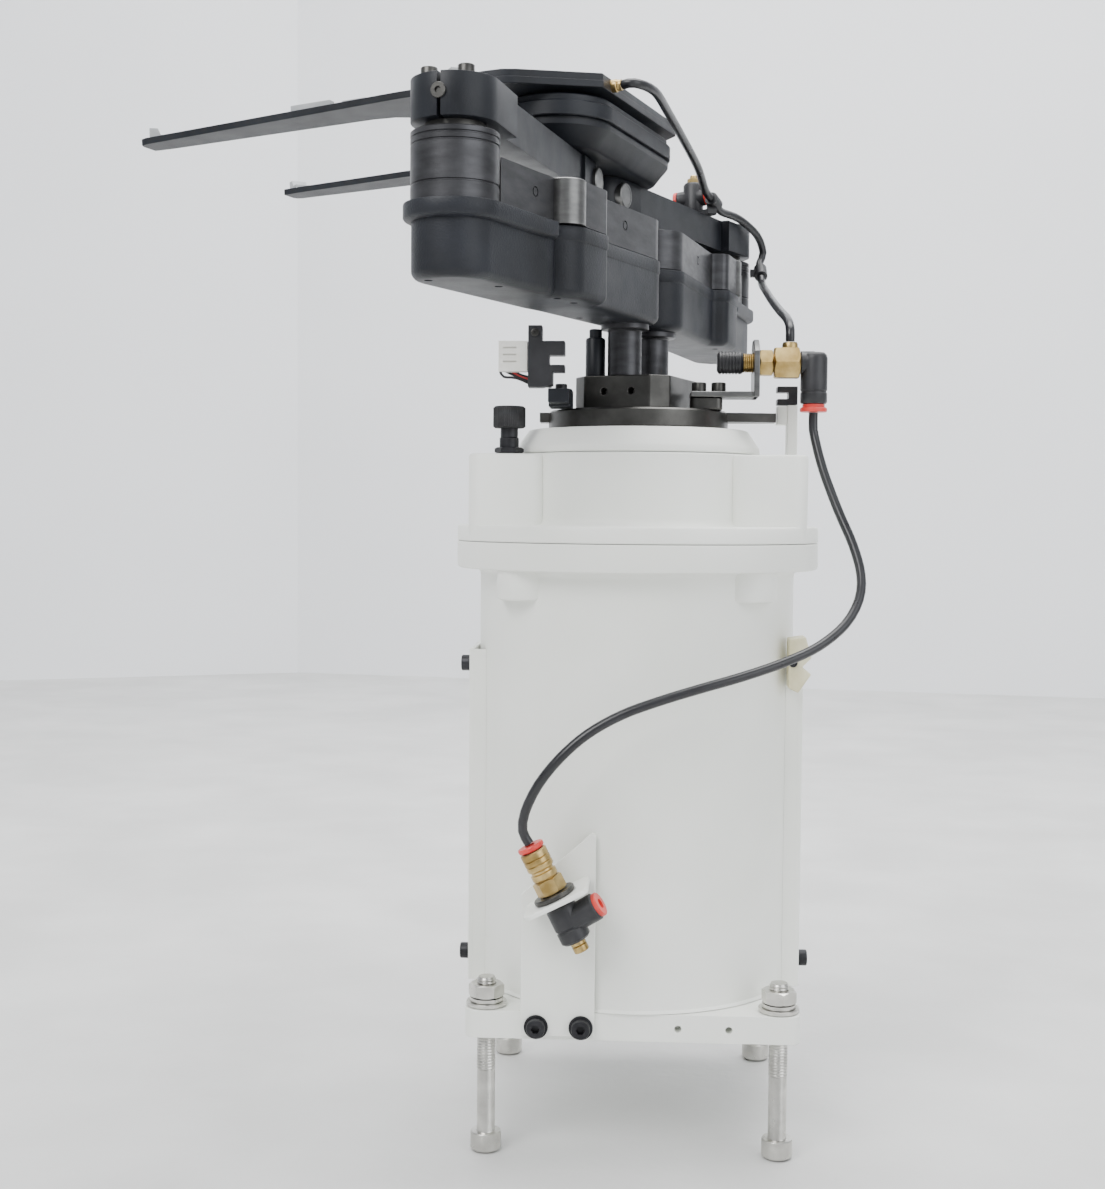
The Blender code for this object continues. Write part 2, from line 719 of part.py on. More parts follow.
def arm_outline(hub_r, elbow_r, boss_y, elbow_steps=8):
    """An upper arm from above: its hub at the origin, its elbow at +X, its boss on the +Y side."""
    points = arc(0, 0, hub_r, 90, 270, 8)
    points += [(56.0, -hub_r), (68.0, -elbow_r)]
    points += arc(LINK, 0, elbow_r, -90, 90, elbow_steps)
    points += [(104.0, elbow_r)]
    points += arc(82.0, boss_y - 12.5, 12.5, 20, 90, 3)
    points += [(60.0, boss_y), (58.5, hub_r + 1.0), (57.0, hub_r)]
    return points


def upper_arm(side):
    """The cast arm, its machined cover, the elbow's bearing housing, and the belt inside."""
    sign = SIGN[side]
    spot = SHOULDER[side]
    turn = ARM_TURN[side]

    body_line = mirrored(arm_outline(14.6, 15.6, 22.0), sign)
    casting = solid(f"arm_casting_{side}", lambda work: add_levels(work, body_line, [
        (ARM_LOW_Z, 4.0), (ARM_LOW_Z + 3.2, 0.0), (ARM_SEAM_Z - 5.0, 0.0)]),
        black_anodised())
    place(casting, spot, turn)
    flange_line = mirrored(arm_outline(15.0, 18.6, 22.6), sign)
    flange = solid(f"flange_{side}", lambda work: add_levels(work, flange_line, [
        (ARM_SEAM_Z - 6.4, 0.8), (ARM_SEAM_Z - 5.6, 0.0), (ARM_SEAM_Z, 0.0)]), None)
    join(casting, place(flange, spot, turn))
    pocket = prism(f"cut_pocket_{side}", link_outline(LINK, 11.9, 11.9, 8), ARM_LOW_Z + 4.0, ARM_SEAM_Z + 2.0, None)
    cut(casting, place(pocket, spot, turn))
    post_hole = turned(f"cut_post_{side}", [(0, 298), (4.6, 298), (4.6, 306), (0, 306)], None, 16)
    cut(casting, place(post_hole, spot, turn))

    cover_line = mirrored(arm_outline(14.0, 14.2, 21.8, 8), sign)
    cover = prism(f"arm_cover_{side}", cover_line, ARM_SEAM_Z + GAP, ARM_COVER_TOP_Z, bare_steel())
    place(cover, spot, turn)
    seat = turned(f"cut_seat_{side}", [(0, 320), (ELBOW_R + 0.9, 320), (ELBOW_R + 0.9, 360), (0, 360)], None, 32)
    cut(cover, place(seat, ELBOW[side], turn))

    low = ARM_SEAM_Z + GAP
    top = ELBOW_HOUSING_TOP_Z
    housing = [(4.9, low), (ELBOW_R, low), (ELBOW_R, top), (4.9, top)]
    turned(f"elbow_housing_{side}", housing, bare_steel(), 32, ELBOW[side])

    shaft = [(4.2, BLOCK_TOP_Z + GAP), (7.4, BLOCK_TOP_Z + GAP), (7.4, ARM_LOW_Z - 2.8), (10.5, ARM_LOW_Z - 2.4),
             (10.5, ARM_LOW_Z - GAP), (4.2, ARM_LOW_Z - GAP)]
    turned(f"shoulder_shaft_{side}", shaft, bare_steel(), 28, spot)
    belt = solid(f"arm_belt_{side}", lambda work: add_band(
        work, link_outline(LINK, 10.9, 6.4, 8), link_outline(LINK, 9.6, 5.1, 8), 307.5, 318.5), rubber())
    place(belt, spot, turn)


def hub_pulleys():
    """The two fixed pulleys on their posts, which make each forearm fold twice as far as its upper arm."""
    pulley = [(0, BLOCK_TOP_Z + GAP), (3.8, BLOCK_TOP_Z + GAP), (3.8, 306.0), (9.0, 306.0), (9.0, 320.0),
              (0, 320.0)]
    for side, spot in SHOULDER.items():
        turned(f"hub_pulley_{side}", pulley, bare_steel(), 24, spot)


def add_band(work, outer, inner, low, high):
    """A closed upright band between two outlines with the same number of points."""
    count = len(outer)
    rings = [[work.verts.new((x, y, z)) for x, y in line_] for line_, z in
             ((outer, low), (outer, high), (inner, high), (inner, low))]
    for k in range(4):
        one, two = rings[k], rings[(k + 1) % 4]
        for i in range(count):
            j = (i + 1) % count
            work.faces.new((one[i], one[j], two[j], two[i]))


def forearm(side):
    """The flat upper link, its elbow shaft and wrist pin, its screws and its pale end plug."""
    spot = ELBOW[side]
    turn = FOREARM_TURN[side]
    outline = link_outline(LINK, ELBOW_R, WRIST_R, 10)
    body = prism(f"forearm_{side}", outline, FOREARM_LOW_Z, FOREARM_TOP_Z, black_anodised(), spot, turn)
    hole = turned(f"cut_wrist_{side}", [(0, 350), (4.4, 350), (4.4, 375), (0, 375)], None, 20)
    cut(body, place(hole, WRIST[side], turn))
    relief = prism(f"cut_relief_{side}", mirrored([(24.0, -20.0), (124.0, -20.0), (124.0, -9.4), (24.0, -10.6)],
                                                 SIGN[side]), 350.0, 375.0, None)
    cut(body, place(relief, spot, turn))

    shaft = [(0, 306.0), (4.5, 306.0), (4.5, ELBOW_HOUSING_TOP_Z + GAP), (11.0, ELBOW_HOUSING_TOP_Z + GAP),
             (11.0, FOREARM_LOW_Z - GAP), (0, FOREARM_LOW_Z - GAP)]
    pin = [(0, FOREARM_LOW_Z - 1.5), (7.0, FOREARM_LOW_Z - 1.5), (7.0, FOREARM_LOW_Z - GAP),
           (4.0, FOREARM_LOW_Z - GAP), (4.0, CUP_LOW_Z + 5.0), (0, CUP_LOW_Z + 5.0)]
    turned(f"elbow_shaft_{side}", shaft, dark_steel(), 20, spot)
    turned(f"wrist_pin_{side}", pin, dark_steel(), 20, WRIST[side])

    outward = (spot - WRIST[side]).normalized()
    for x, y in ((-7.5, 7.0), (-7.5, -7.0)):
        local = Matrix.Rotation(turn, 3, "Z") @ Vector((x, y, FOREARM_TOP_Z))
        join(body, turned_at("screw", head_profile(3.0, 3.4), bright_steel(), 16, at(spot + local)))
    join(body, turned_at("set_screw", head_profile(2.6, 1.2), bright_steel(), 14,
                         at(spot + outward * ELBOW_R + Vector((0, 0, 364.0)), outward)))
    back = Vector((outward.y, -outward.x, 0))
    if back.dot(FORWARD) > 0:
        back = -back
    plug = [(0, -1.5), (5.6, -1.5), (5.8, 0.2), (5.8, 1.6), (5.4, 2.0), (0, 2.0)]
    centre = WRIST[side] + back * WRIST_R + Vector((0, 0, 363.2))
    join(body, turned_at("plug", plug, bright_steel(), 20, at(centre, back)))


# ---------------------------------------------------------------- wrist and fork

def wrist_cup():
    outline = arc(0, CUP_HALF, CUP_R, 0, 180, 10) + arc(0, -CUP_HALF, CUP_R, 180, 360, 10)
    cup = solid("wrist_cup", lambda work: add_levels(work, outline, [
        (CUP_LOW_Z, 7.0), (379.0, 0.9), (CUP_GROOVE_Z, 0.9), (CUP_GROOVE_Z + 0.2, 0.0), (CUP_TOP_Z, 0.0)]),
        black_anodised())
    place(cup, WRIST_CENTRE, BLOCK_TURN)
    for side in WRIST:
        hole = turned(f"cut_pin_{side}", [(0, 370), (4.6, 370), (4.6, 378), (0, 378)], None, 20)
        cut(cup, place(hole, WRIST[side]))
    return cup


def fork_matrix():
    return Matrix.Rotation(FORK_TURN, 3, "Z") @ Matrix.Rotation(math.radians(FORK_DROOP_DEG), 3, "Y")


def fork_side(y_sign):
    """One side of the fork from above, from the yoke's back corner to the tip and back to its crotch."""
    points = [(-25.0, 47.0), (4.0, 71.0), (12.0, 74.5), (58.0, 75.0), (TIP_REACH + 3.0, TIP_HALF + 7.5),
              (TIP_REACH + 7.0, TIP_HALF + 4.0), (TIP_REACH + 7.0, TIP_HALF - 5.0), (TIP_REACH - 2.0, TIP_HALF - 6.0),
              (82.0, 51.0), (66.0, 46.0), (54.0, 34.0), (48.0, 18.0)]
    return [(x, y * y_sign) for x, y in points]


def fork():
    """The wafer fork: one plate with two thin blades and a thicker yoke over the wrist."""
    outline = fork_side(-1) + list(reversed(fork_side(1)))
    plate = prism("fork", outline, 0.0, BLADE_THICK, black_anodised())
    place(plate, WRIST_CENTRE + Vector((0, 0, FORK_Z)), tilt=fork_matrix())
    yoke_line = [(-24.6, -46.8), (4.2, -70.6), (12.2, -74.1), (50.0, -74.6), (50.0, -48.0), (46.0, -16.0), (46.0, 16.0),
                 (50.0, 48.0), (50.0, 74.6), (12.2, 74.1), (4.2, 70.6), (-24.6, 46.8)]
    yoke = prism("yoke", yoke_line, BLADE_THICK - 1.0, YOKE_THICK, None)
    join(plate, place(yoke, WRIST_CENTRE + Vector((0, 0, FORK_Z)), tilt=fork_matrix()))
    return plate


def wafer_pads(plate):
    """Stepped rest pads where the wafer's edge lies, two at the tips and two near the yoke, and edge guides."""
    centre_v = TIP_REACH - math.sqrt(WAFER_R ** 2 - TIP_HALF ** 2)
    root_u = 66.0
    root_v = centre_v - math.sqrt(WAFER_R ** 2 - root_u ** 2)
    move = Matrix.Translation(WRIST_CENTRE + Vector((0, 0, FORK_Z))) @ fork_matrix().to_4x4()
    upright = Matrix.Rotation(math.radians(90), 4, "X")

    def stepped(work, v, u):
        away = math.atan2(u, v - centre_v)
        base = BLADE_THICK if v > 100 else YOKE_THICK
        shape = [(-5.0, base - 1.0), (5.0, base - 1.0), (5.0, base + 4.6), (1.2, base + 4.6), (0.0, base + 1.8),
                 (-5.0, base + 1.6)]
        add_prism(work, shape, -4.0, 4.0)
        spun = Matrix.Translation((v, u, 0)) @ Matrix.Rotation(away, 4, "Z") @ upright
        bmesh.ops.transform(work, matrix=move @ spun, verts=work.verts)

    def guide(work, v, half, u, height):
        add_prism(work, rectangle(v - half, v + half, u - 2.0, u + 2.0), BLADE_THICK - 1.0, BLADE_THICK + height)
        bmesh.ops.transform(work, matrix=move, verts=work.verts)

    for sign in (-1, 1):
        for v, u in ((TIP_REACH, TIP_HALF * sign), (root_v, root_u * sign)):
            join(plate, solid("pad", lambda work, v=v, u=u: stepped(work, v, u), pale_plastic()))
        for v, half, height in ((104.0, 10.0, 3.6), (82.0, 6.0, 2.2)):
            join(plate, solid("guide", lambda work, v=v, half=half, height=height, sign=sign:
                              guide(work, v, half, sign * 66.0, height), pale_plastic()))


# ---------------------------------------------------------------- tubes and their fittings

TUBE_R = 2.0


def smooth_path(points, step=9.0):
    """A Catmull-Rom path through points, sampled about every step."""
    ends = [2 * points[0] - points[1]] + points + [2 * points[-1] - points[-2]]
    path = []
    for k in range(1, len(ends) - 2):
        p0, p1, p2, p3 = ends[k - 1:k + 3]
        count = max(2, round((p2 - p1).length / step))
        for i in range(count):
            t = i / count
            path.append(0.5 * (2 * p1 + (p2 - p0) * t + (2 * p0 - 5 * p1 + 4 * p2 - p3) * t * t
                               + (3 * p1 - p0 - 3 * p2 + p3) * t * t * t))
    path.append(points[-1])
    return path


def tube(name, points, finish, radius=TUBE_R):
    """A flexible tube as a curve with round caps."""
    path = smooth_path([Vector(p) for p in points])
    curve = bpy.data.curves.new(name, "CURVE")
    curve.dimensions = "3D"
    curve.bevel_depth = radius * MM
    curve.bevel_resolution = 2
    curve.use_fill_caps = True
    line = curve.splines.new("POLY")
    line.points.add(len(path) - 1)
    for point, spot in zip(line.points, path):
        point.co = (*(spot * MM), 1.0)
    curve.materials.append(finish)
    body = bpy.data.objects.new(name, curve)
    bpy.context.collection.objects.link(body)
    return body


FORK_PORT_Y = 36.0
FORK_PORT_V = -25.2
FOREARM_CLIP = Vector((37.5, 110.0, 377.4))
FOREARM_CLIP_DIRECTION = Vector((0.40, 0.87, -0.30)).normalized()
ARM_CLIP = Vector((64.6, 147.0, 347.0))
ARM_CLIP_DIRECTION = Vector((0.02, -0.75, -0.66)).normalized()


def fork_spot(x, y, height):
    """A place on the fork: x forward of the wrist, y across, and a height over its underside."""
    return WRIST_CENTRE + Vector((0, 0, FORK_Z)) + fork_matrix() @ Vector((x, y, height))


def fork_port(plate):
    """The small brass port on the fork's back edge that the tube ends in."""
    back = fork_matrix() @ Vector((-1, 0, 0))
    start = fork_spot(FORK_PORT_V, FORK_PORT_Y, YOKE_THICK / 2)
    join(plate, turned_at("port", [(0, -2.0), (2.7, -2.0), (2.7, 2.0), (2.3, 2.4), (2.3, 4.0), (0, 4.0)], brass(), 16,
                          at(start, back)))


def forearm_fitting():
    """The small manifold on the right forearm: an upright body, a cross barrel, two red rings and a clip."""
    x, y = 27.5, 124.0
    low = FOREARM_TOP_Z + GAP
    body = turned("forearm_fitting", [(0, low), (5.2, low), (5.2, low + 18.2), (0, low + 18.2)],
                  black_plastic(), 20, (x, y, 0))
    across = Vector((0.93, -0.33, 0.12)).normalized()
    centre = Vector((x, y, low + 10.5))
    join(body, solid("fitting_barrel", lambda work: add_turned(work, [
        (0, -10.0), (4.6, -10.0), (4.6, 8.5), (0, 8.5)], 16, at(centre, across)), None))
    spot = FOREARM_CLIP
    strip = prism("strip", [(x - 3.0, y - 4.0), (spot.x - 3.0, spot.y - 2.5), (spot.x + 1.5, spot.y - 1.5),
                            (spot.x + 1.5, spot.y + 1.5), (x + 3.0, y + 4.0)], low, low + 2.4, None)
    join(body, strip)
    join(body, prism("foot", rectangle(spot.x - 3.5, spot.x + 1.5, spot.y - 1.5, spot.y + 1.5), low + 1.0, 376.0,
                     None))
    join(body, clip_barrel(spot, FOREARM_CLIP_DIRECTION))
    top = low + 17.5
    join(body, turned("screw", [(0, top), (3.2, top), (3.2, top + 5.0), (0, top + 5.0)], brass(), 14, (x, y, 0)))
    return body


def clip_barrel(centre, direction):
    """A short barrel that holds a tube's end."""
    return solid("barrel", lambda work: add_turned(work, [(0, -4.0), (3.4, -4.0), (3.4, 4.0), (0, 4.0)], 20,
                                                   at(centre, direction)), black_plastic())


def arm_tube_clip():
    spot = ARM_CLIP
    foot = prism("arm_foot", rectangle(ELBOW["right"].x + ELBOW_R + 0.6, spot.x, spot.y - 1.5, spot.y + 1.5),
                 344.5, 348.5, None)
    barrel = clip_barrel(spot, ARM_CLIP_DIRECTION)
    barrel.name = "arm_tube_clip"
    join(barrel, foot)


def tubes():
    ring = Vector((*TURRET_PORT, 262.1))
    start = FITTING_SPOT + FITTING_AXIS * 24.1
    tube("supply_tube", [
        start, start + FITTING_AXIS * 6.0, (-43.4, -88.5, 98.5), (-38.0, -92.0, 110.0), (-29.4, -93.0, 121.0),
        (-18.5, -92.0, 130.6), (-5.1, -90.0, 138.1), (9.9, -88.0, 143.6), (25.7, -85.0, 148.3),
        (42.6, -80.0, 152.8), (59.5, -73.0, 158.0), (74.3, -65.0, 164.0), (86.1, -57.0, 172.6),
        (92.6, -50.0, 182.6), (94.1, -44.0, 192.8), (91.5, -37.0, 205.2), (85.8, -30.0, 220.0),
        (79.9, -24.0, 237.2), (76.6, -18.8, 251.5), (TURRET_PORT[0], TURRET_PORT[1], 256.5), ring], rubber())
    back = fork_matrix() @ Vector((-1, 0, 0))
    port = fork_spot(FORK_PORT_V, FORK_PORT_Y, YOKE_THICK / 2) + back * 4.7
    tube("wrist_tube", [
        port, port + back * 5.0, (5.5, -24.0, 398.6), (12.5, 8.0, 396.6), (20.0, 42.0, 393.0), (28.0, 76.0, 387.5),
        FOREARM_CLIP - FOREARM_CLIP_DIRECTION * 12.0, FOREARM_CLIP - FOREARM_CLIP_DIRECTION * 4.6], rubber())
    tube("elbow_tube", [
        FOREARM_CLIP + FOREARM_CLIP_DIRECTION * 4.6, FOREARM_CLIP + FOREARM_CLIP_DIRECTION * 11.0,
        (52.0, 134.0, 373.0), (62.4, 148.0, 367.0), (66.4, 156.0, 359.0),
        ARM_CLIP - ARM_CLIP_DIRECTION * 9.0, ARM_CLIP - ARM_CLIP_DIRECTION * 4.6], rubber())
    union_top = UNION_Z + 7.4 * math.cos(math.pi / 6) + 2.9
    tube("arm_tube", [
        ARM_CLIP + ARM_CLIP_DIRECTION * 4.6, ARM_CLIP + ARM_CLIP_DIRECTION * 11.0,
        (64.8, 118.0, 334.0), (64.6, 70.0, 322.0), (65.0, 25.0, 311.0), (65.3, -3.0, 304.5),
        (65.5, -15.0, 300.0), (65.5, TURRET_PORT[1], union_top + 3.5), (65.5, TURRET_PORT[1], union_top)], rubber())


base_plate()
drum_housing()
upper_housing()
top_cap()
side_covers()
mounting_bolts()
turn_motor()
spindle()
spindle_bearings()
arm_motor()
cable_sockets()
tube_bracket()
supply_fitting()
rotation_bumper()
home_sensor()
cable_clip()
turret_disc()
turret_block()
arm_sensor()
turret_bracket()
turret_union()
for arm_side in SHOULDER:
    upper_arm(arm_side)
    forearm(arm_side)
hub_pulleys()
wrist_cup()
fork_plate = fork()
wafer_pads(fork_plate)
fork_port(fork_plate)
forearm_fitting()
arm_tube_clip()
tubes()
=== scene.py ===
"""Looks of a drum-based wafer handling robot: painted drum, turret, belt-driven arms, fork and air tubes.

Sizes are in millimetres until a mesh is built, in the same frame as the CAD model.
"""
from math import asin, atan2, cos, degrees, pi, radians, sin, sqrt

import bmesh
import bpy
from mathutils import Matrix, Vector


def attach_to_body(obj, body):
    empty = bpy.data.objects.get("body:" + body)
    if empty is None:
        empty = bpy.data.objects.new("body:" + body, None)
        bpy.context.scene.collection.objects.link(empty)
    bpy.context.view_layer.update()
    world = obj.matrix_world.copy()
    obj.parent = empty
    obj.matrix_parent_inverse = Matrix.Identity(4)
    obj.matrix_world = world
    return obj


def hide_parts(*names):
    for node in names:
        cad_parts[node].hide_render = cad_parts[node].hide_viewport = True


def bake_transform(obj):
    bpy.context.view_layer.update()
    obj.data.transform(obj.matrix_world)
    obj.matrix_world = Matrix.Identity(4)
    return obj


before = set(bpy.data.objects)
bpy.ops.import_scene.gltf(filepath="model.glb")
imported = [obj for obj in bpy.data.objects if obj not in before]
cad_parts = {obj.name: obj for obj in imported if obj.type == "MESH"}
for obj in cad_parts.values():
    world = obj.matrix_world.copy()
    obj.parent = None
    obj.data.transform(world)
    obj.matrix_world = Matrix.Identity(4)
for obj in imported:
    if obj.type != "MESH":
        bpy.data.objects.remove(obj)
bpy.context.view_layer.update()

MM = 0.001
GAP = 0.3

BASE_HALF, BASE_TOP = 69.5, 11.5
DRUM_R, FLANGE_R, HOUSING_R = 70.0, 80.5, 54.5
FLANGE_LOW_Z, SEAM_Z, FLANGE_HIGH_Z = 193.5, 205.2, 212.5
HOUSING_TOP_Z, CAP_TOP_Z = 243.5, 254.5
COLUMN_X, COLUMN_Y = 61.0, 30.0
BOLT_SPACING, BOLT_R, BOLT_HEAD_R, BOLT_HEAD_H = 61.0, 4.0, 6.5, 8.0
BOLT_FOOT_Z = -50.0
NUT_FLATS = 13.0
DISC_R, DISC_LOW_Z, DISC_TOP_Z, BLOCK_TOP_Z = 40.0, 255.0, 263.0, 277.5
LINK, PIVOT_OFFSET = 142.0, 18.0
ARM_LOW_Z, ARM_SEAM_Z, ARM_COVER_TOP_Z = 300.0, 327.3, 344.7
ELBOW_R, ELBOW_HOUSING_TOP_Z = 16.0, 352.6
FOREARM_LOW_Z, FOREARM_TOP_Z, WRIST_R = 355.4, 370.9, 10.0
CUP_LOW_Z, CUP_GROOVE_Z, CUP_TOP_Z, CUP_HALF, CUP_R = 371.5, 382.5, 392.3, 35.0, 25.0
FORK_Z, FORK_DROOP_DEG, YOKE_THICK, BLADE_THICK = 394.0, 2.7, 6.0, 3.0
WAFER_R, TIP_HALF, TIP_REACH = 100.0, 60.0, 189.0

LINE = radians(20.0)
SPREAD = radians(5.0)
ALONG = Vector((sin(LINE), cos(LINE), 0))
FORWARD = Vector((-cos(LINE), sin(LINE), 0))
SHOULDER = {"left": -PIVOT_OFFSET * ALONG, "right": PIVOT_OFFSET * ALONG}
REACH = 2 * LINK * sin(SPREAD)
WRIST = {side: spot + REACH * FORWARD for side, spot in SHOULDER.items()}
WRIST_CENTRE = REACH * FORWARD
SIGN = {"left": 1, "right": -1}


def arm_direction(side):
    away = -1 if side == "left" else 1
    return away * ALONG * cos(SPREAD) + FORWARD * sin(SPREAD)


ELBOW = {side: SHOULDER[side] + LINK * arm_direction(side) for side in SHOULDER}
ARM_TURN = {side: atan2(arm_direction(side).y, arm_direction(side).x) for side in SHOULDER}
FOREARM_TURN = {}
for arm_side in SHOULDER:
    run = WRIST[arm_side] - ELBOW[arm_side]
    FOREARM_TURN[arm_side] = atan2(run.y, run.x)
FORK_TURN = atan2(FORWARD.y, FORWARD.x)
BLOCK_TURN = -LINE


# ---------------------------------------------------------------- materials

def new_material(name, roughness, metallic=0.0, specular=0.5):
    made = bpy.data.materials.new(name)
    made.use_nodes = True
    shader = made.node_tree.nodes["Principled BSDF"]
    shader.inputs["Roughness"].default_value = roughness
    shader.inputs["Metallic"].default_value = metallic
    shader.inputs["Specular IOR Level"].default_value = specular
    return made, shader


def add_node(made, kind, **values):
    node = made.node_tree.nodes.new(kind)
    for key, value in values.items():
        if key in node.inputs:
            node.inputs[key].default_value = value
        else:
            setattr(node, key, value)
    return node


def link(made, source, target):
    made.node_tree.links.new(source, target)


def noise(made, scale, detail=4.0, stretch=(1, 1, 1)):
    """Noise in object space at a scale per metre, stretched along an axis for brushed metal."""
    where = add_node(made, "ShaderNodeTexCoord")
    mapping = add_node(made, "ShaderNodeMapping")
    mapping.inputs["Scale"].default_value = stretch
    link(made, where.outputs["Object"], mapping.inputs["Vector"])
    texture = add_node(made, "ShaderNodeTexNoise", Scale=scale, Detail=detail)
    link(made, mapping.outputs["Vector"], texture.inputs["Vector"])
    return texture.outputs["Fac"]


def ramp(made, factor, stops):
    node = add_node(made, "ShaderNodeValToRGB")
    link(made, factor, node.inputs["Fac"])
    ramp_ = node.color_ramp
    while len(ramp_.elements) < len(stops):
        ramp_.elements.new(0.5)
    for element, (place_, colour) in zip(ramp_.elements, stops):
        element.position = place_
        element.color = (*colour, 1.0)
    return node.outputs["Color"]


def surface(name, dark, light, roughness, metallic=0.0, scale=60.0, stretch=(1, 1, 1), grain=900.0,
        bump=0.15, depth=0.0002, rough_spread=0.08, specular=0.5):
    """A finish with gently varied colour and gloss and a fine bump."""
    made, shader = new_material(name, roughness, metallic, specular)
    broad = noise(made, scale, 5.0, stretch)
    colour = ramp(made, broad, [(0.35, dark), (0.68, light)])
    link(made, colour, shader.inputs["Base Color"])
    gloss = add_node(made, "ShaderNodeMapRange")
    gloss.inputs["To Min"].default_value = roughness - rough_spread
    gloss.inputs["To Max"].default_value = roughness + rough_spread
    link(made, noise(made, scale * 2.5, 3.0, stretch), gloss.inputs["Value"])
    link(made, gloss.outputs["Result"], shader.inputs["Roughness"])
    relief = add_node(made, "ShaderNodeBump", Strength=bump, Distance=depth)
    link(made, noise(made, grain, 2.0, stretch), relief.inputs["Height"])
    link(made, relief.outputs["Normal"], shader.inputs["Normal"])
    return made


WHITE = surface("white_paint", (0.86, 0.875, 0.82), (0.92, 0.93, 0.885), 0.42, scale=14.0, grain=1400.0,
    bump=0.22)
BLACK = surface("black_anodised", (0.007, 0.008, 0.011), (0.016, 0.018, 0.023), 0.42, 0.0, scale=45.0,
    specular=0.3, grain=2600.0, bump=0.25)
CAST = surface("black_casting", (0.008, 0.009, 0.012), (0.019, 0.021, 0.027), 0.46, 0.0, scale=30.0,
    grain=1500.0, specular=0.3, bump=0.5, depth=0.0003)
STEEL = surface("machined_steel", (0.040, 0.040, 0.043), (0.070, 0.070, 0.075), 0.38, 0.7, scale=70.0,
    stretch=(1, 1, 3), grain=700.0, bump=0.12)
DARK_STEEL = surface("dark_steel", (0.050, 0.049, 0.046), (0.100, 0.098, 0.092), 0.36, 0.85, scale=55.0,
    grain=1800.0)
BARE = surface("bright_bare_steel", (0.13, 0.13, 0.128), (0.21, 0.21, 0.205), 0.34, 0.9, scale=80.0,
    stretch=(1, 1, 3), grain=900.0)
STAINLESS = surface("stainless", (0.50, 0.49, 0.46), (0.68, 0.67, 0.63), 0.30, 1.0, scale=120.0, grain=1600.0)
SCREW = surface("black_screw", (0.012, 0.012, 0.014), (0.030, 0.030, 0.034), 0.42, 0.5, scale=150.0,
    grain=2500.0)
BRASS = surface("brass", (0.33, 0.22, 0.075), (0.60, 0.44, 0.19), 0.34, 1.0, scale=130.0, grain=2200.0,
    rough_spread=0.12)
PLASTIC = surface("black_plastic", (0.010, 0.010, 0.012), (0.022, 0.022, 0.025), 0.42, scale=90.0,
    grain=3000.0, bump=0.3)
RED = surface("red_plastic", (0.60, 0.030, 0.025), (0.78, 0.065, 0.05), 0.36, scale=120.0, grain=2500.0)
NYLON = surface("natural_nylon", (0.62, 0.57, 0.36), (0.76, 0.72, 0.52), 0.45, scale=100.0, grain=1800.0)
PALE = surface("pale_plastic", (0.72, 0.71, 0.66), (0.82, 0.81, 0.77), 0.42, scale=100.0, grain=1800.0)
GREY = surface("grey_pad", (0.36, 0.37, 0.38), (0.50, 0.51, 0.52), 0.5, scale=100.0, grain=1800.0)
RUBBER = surface("rubber", (0.012, 0.012, 0.013), (0.030, 0.030, 0.032), 0.75, scale=140.0, grain=1500.0,
    bump=0.4)
TUBE = surface("air_tube", (0.010, 0.010, 0.012), (0.020, 0.020, 0.023), 0.30, scale=60.0, grain=900.0,
    bump=0.08)
WIRE_RED = surface("wire_red", (0.45, 0.02, 0.02), (0.60, 0.04, 0.04), 0.4, scale=100.0)
FLOOR = surface("floor", (0.60, 0.60, 0.59), (0.70, 0.70, 0.69), 0.55, scale=9.0, grain=160.0, bump=0.3,
    depth=0.0012)
WALL = surface("wall", (0.80, 0.81, 0.83), (0.84, 0.85, 0.87), 0.8, scale=2.0, grain=40.0, bump=0.05)


# ---------------------------------------------------------------- mesh helpers

def place_matrix(spot=(0, 0, 0), turn=0.0, tilt=None):
    rotation = tilt if tilt is not None else Matrix.Rotation(turn, 3, "Z")
    return Matrix.Translation(Vector(spot)) @ rotation.to_4x4()


def at(spot, direction=(0, 0, 1)):
    rotation = Vector((0, 0, 1)).rotation_difference(Vector(direction)).to_matrix().to_4x4()
    return Matrix.Translation(Vector(spot)) @ rotation


def make(name, fill, finish=None, matrix=None, smooth_deg=35.0):
    """An object from a function that fills a bmesh in millimetres, with its place baked into the mesh."""
    work = bmesh.new()
    fill(work)
    if matrix is not None:
        bmesh.ops.transform(work, matrix=matrix, verts=work.verts)
    bmesh.ops.scale(work, vec=(MM, MM, MM), verts=work.verts)
    bmesh.ops.recalc_face_normals(work, faces=work.faces)
    mesh = bpy.data.meshes.new(name)
    work.to_mesh(mesh)
    work.free()
    mesh.shade_smooth()
    mesh.set_sharp_from_angle(angle=radians(smooth_deg))
    thing = bpy.data.objects.new(name, mesh)
    bpy.context.collection.objects.link(thing)
    if finish:
        mesh.materials.append(finish)
    return thing


def bake_shape(thing, changes, smooth_deg):
    """Cuts, joins or trims a mesh with tools, which are then deleted."""
    for operation, tool in changes:
        change = thing.modifiers.new("shape", "BOOLEAN")
        change.operation = operation
        change.object = tool
    graph = bpy.context.evaluated_depsgraph_get()
    shaped = bpy.data.meshes.new_from_object(thing.evaluated_get(graph))
    thing.modifiers.clear()
    thing.data = shaped
    shaped.shade_smooth()
    shaped.set_sharp_from_angle(angle=radians(smooth_deg))
    for _, tool in changes:
        bpy.data.objects.remove(tool, do_unlink=True)


def attach(thing, body, nodes):
    """Puts a piece on its body and the CAD nodes it stands for."""
    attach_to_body(thing, body)
    for node in nodes:
        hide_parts(node)
    return thing


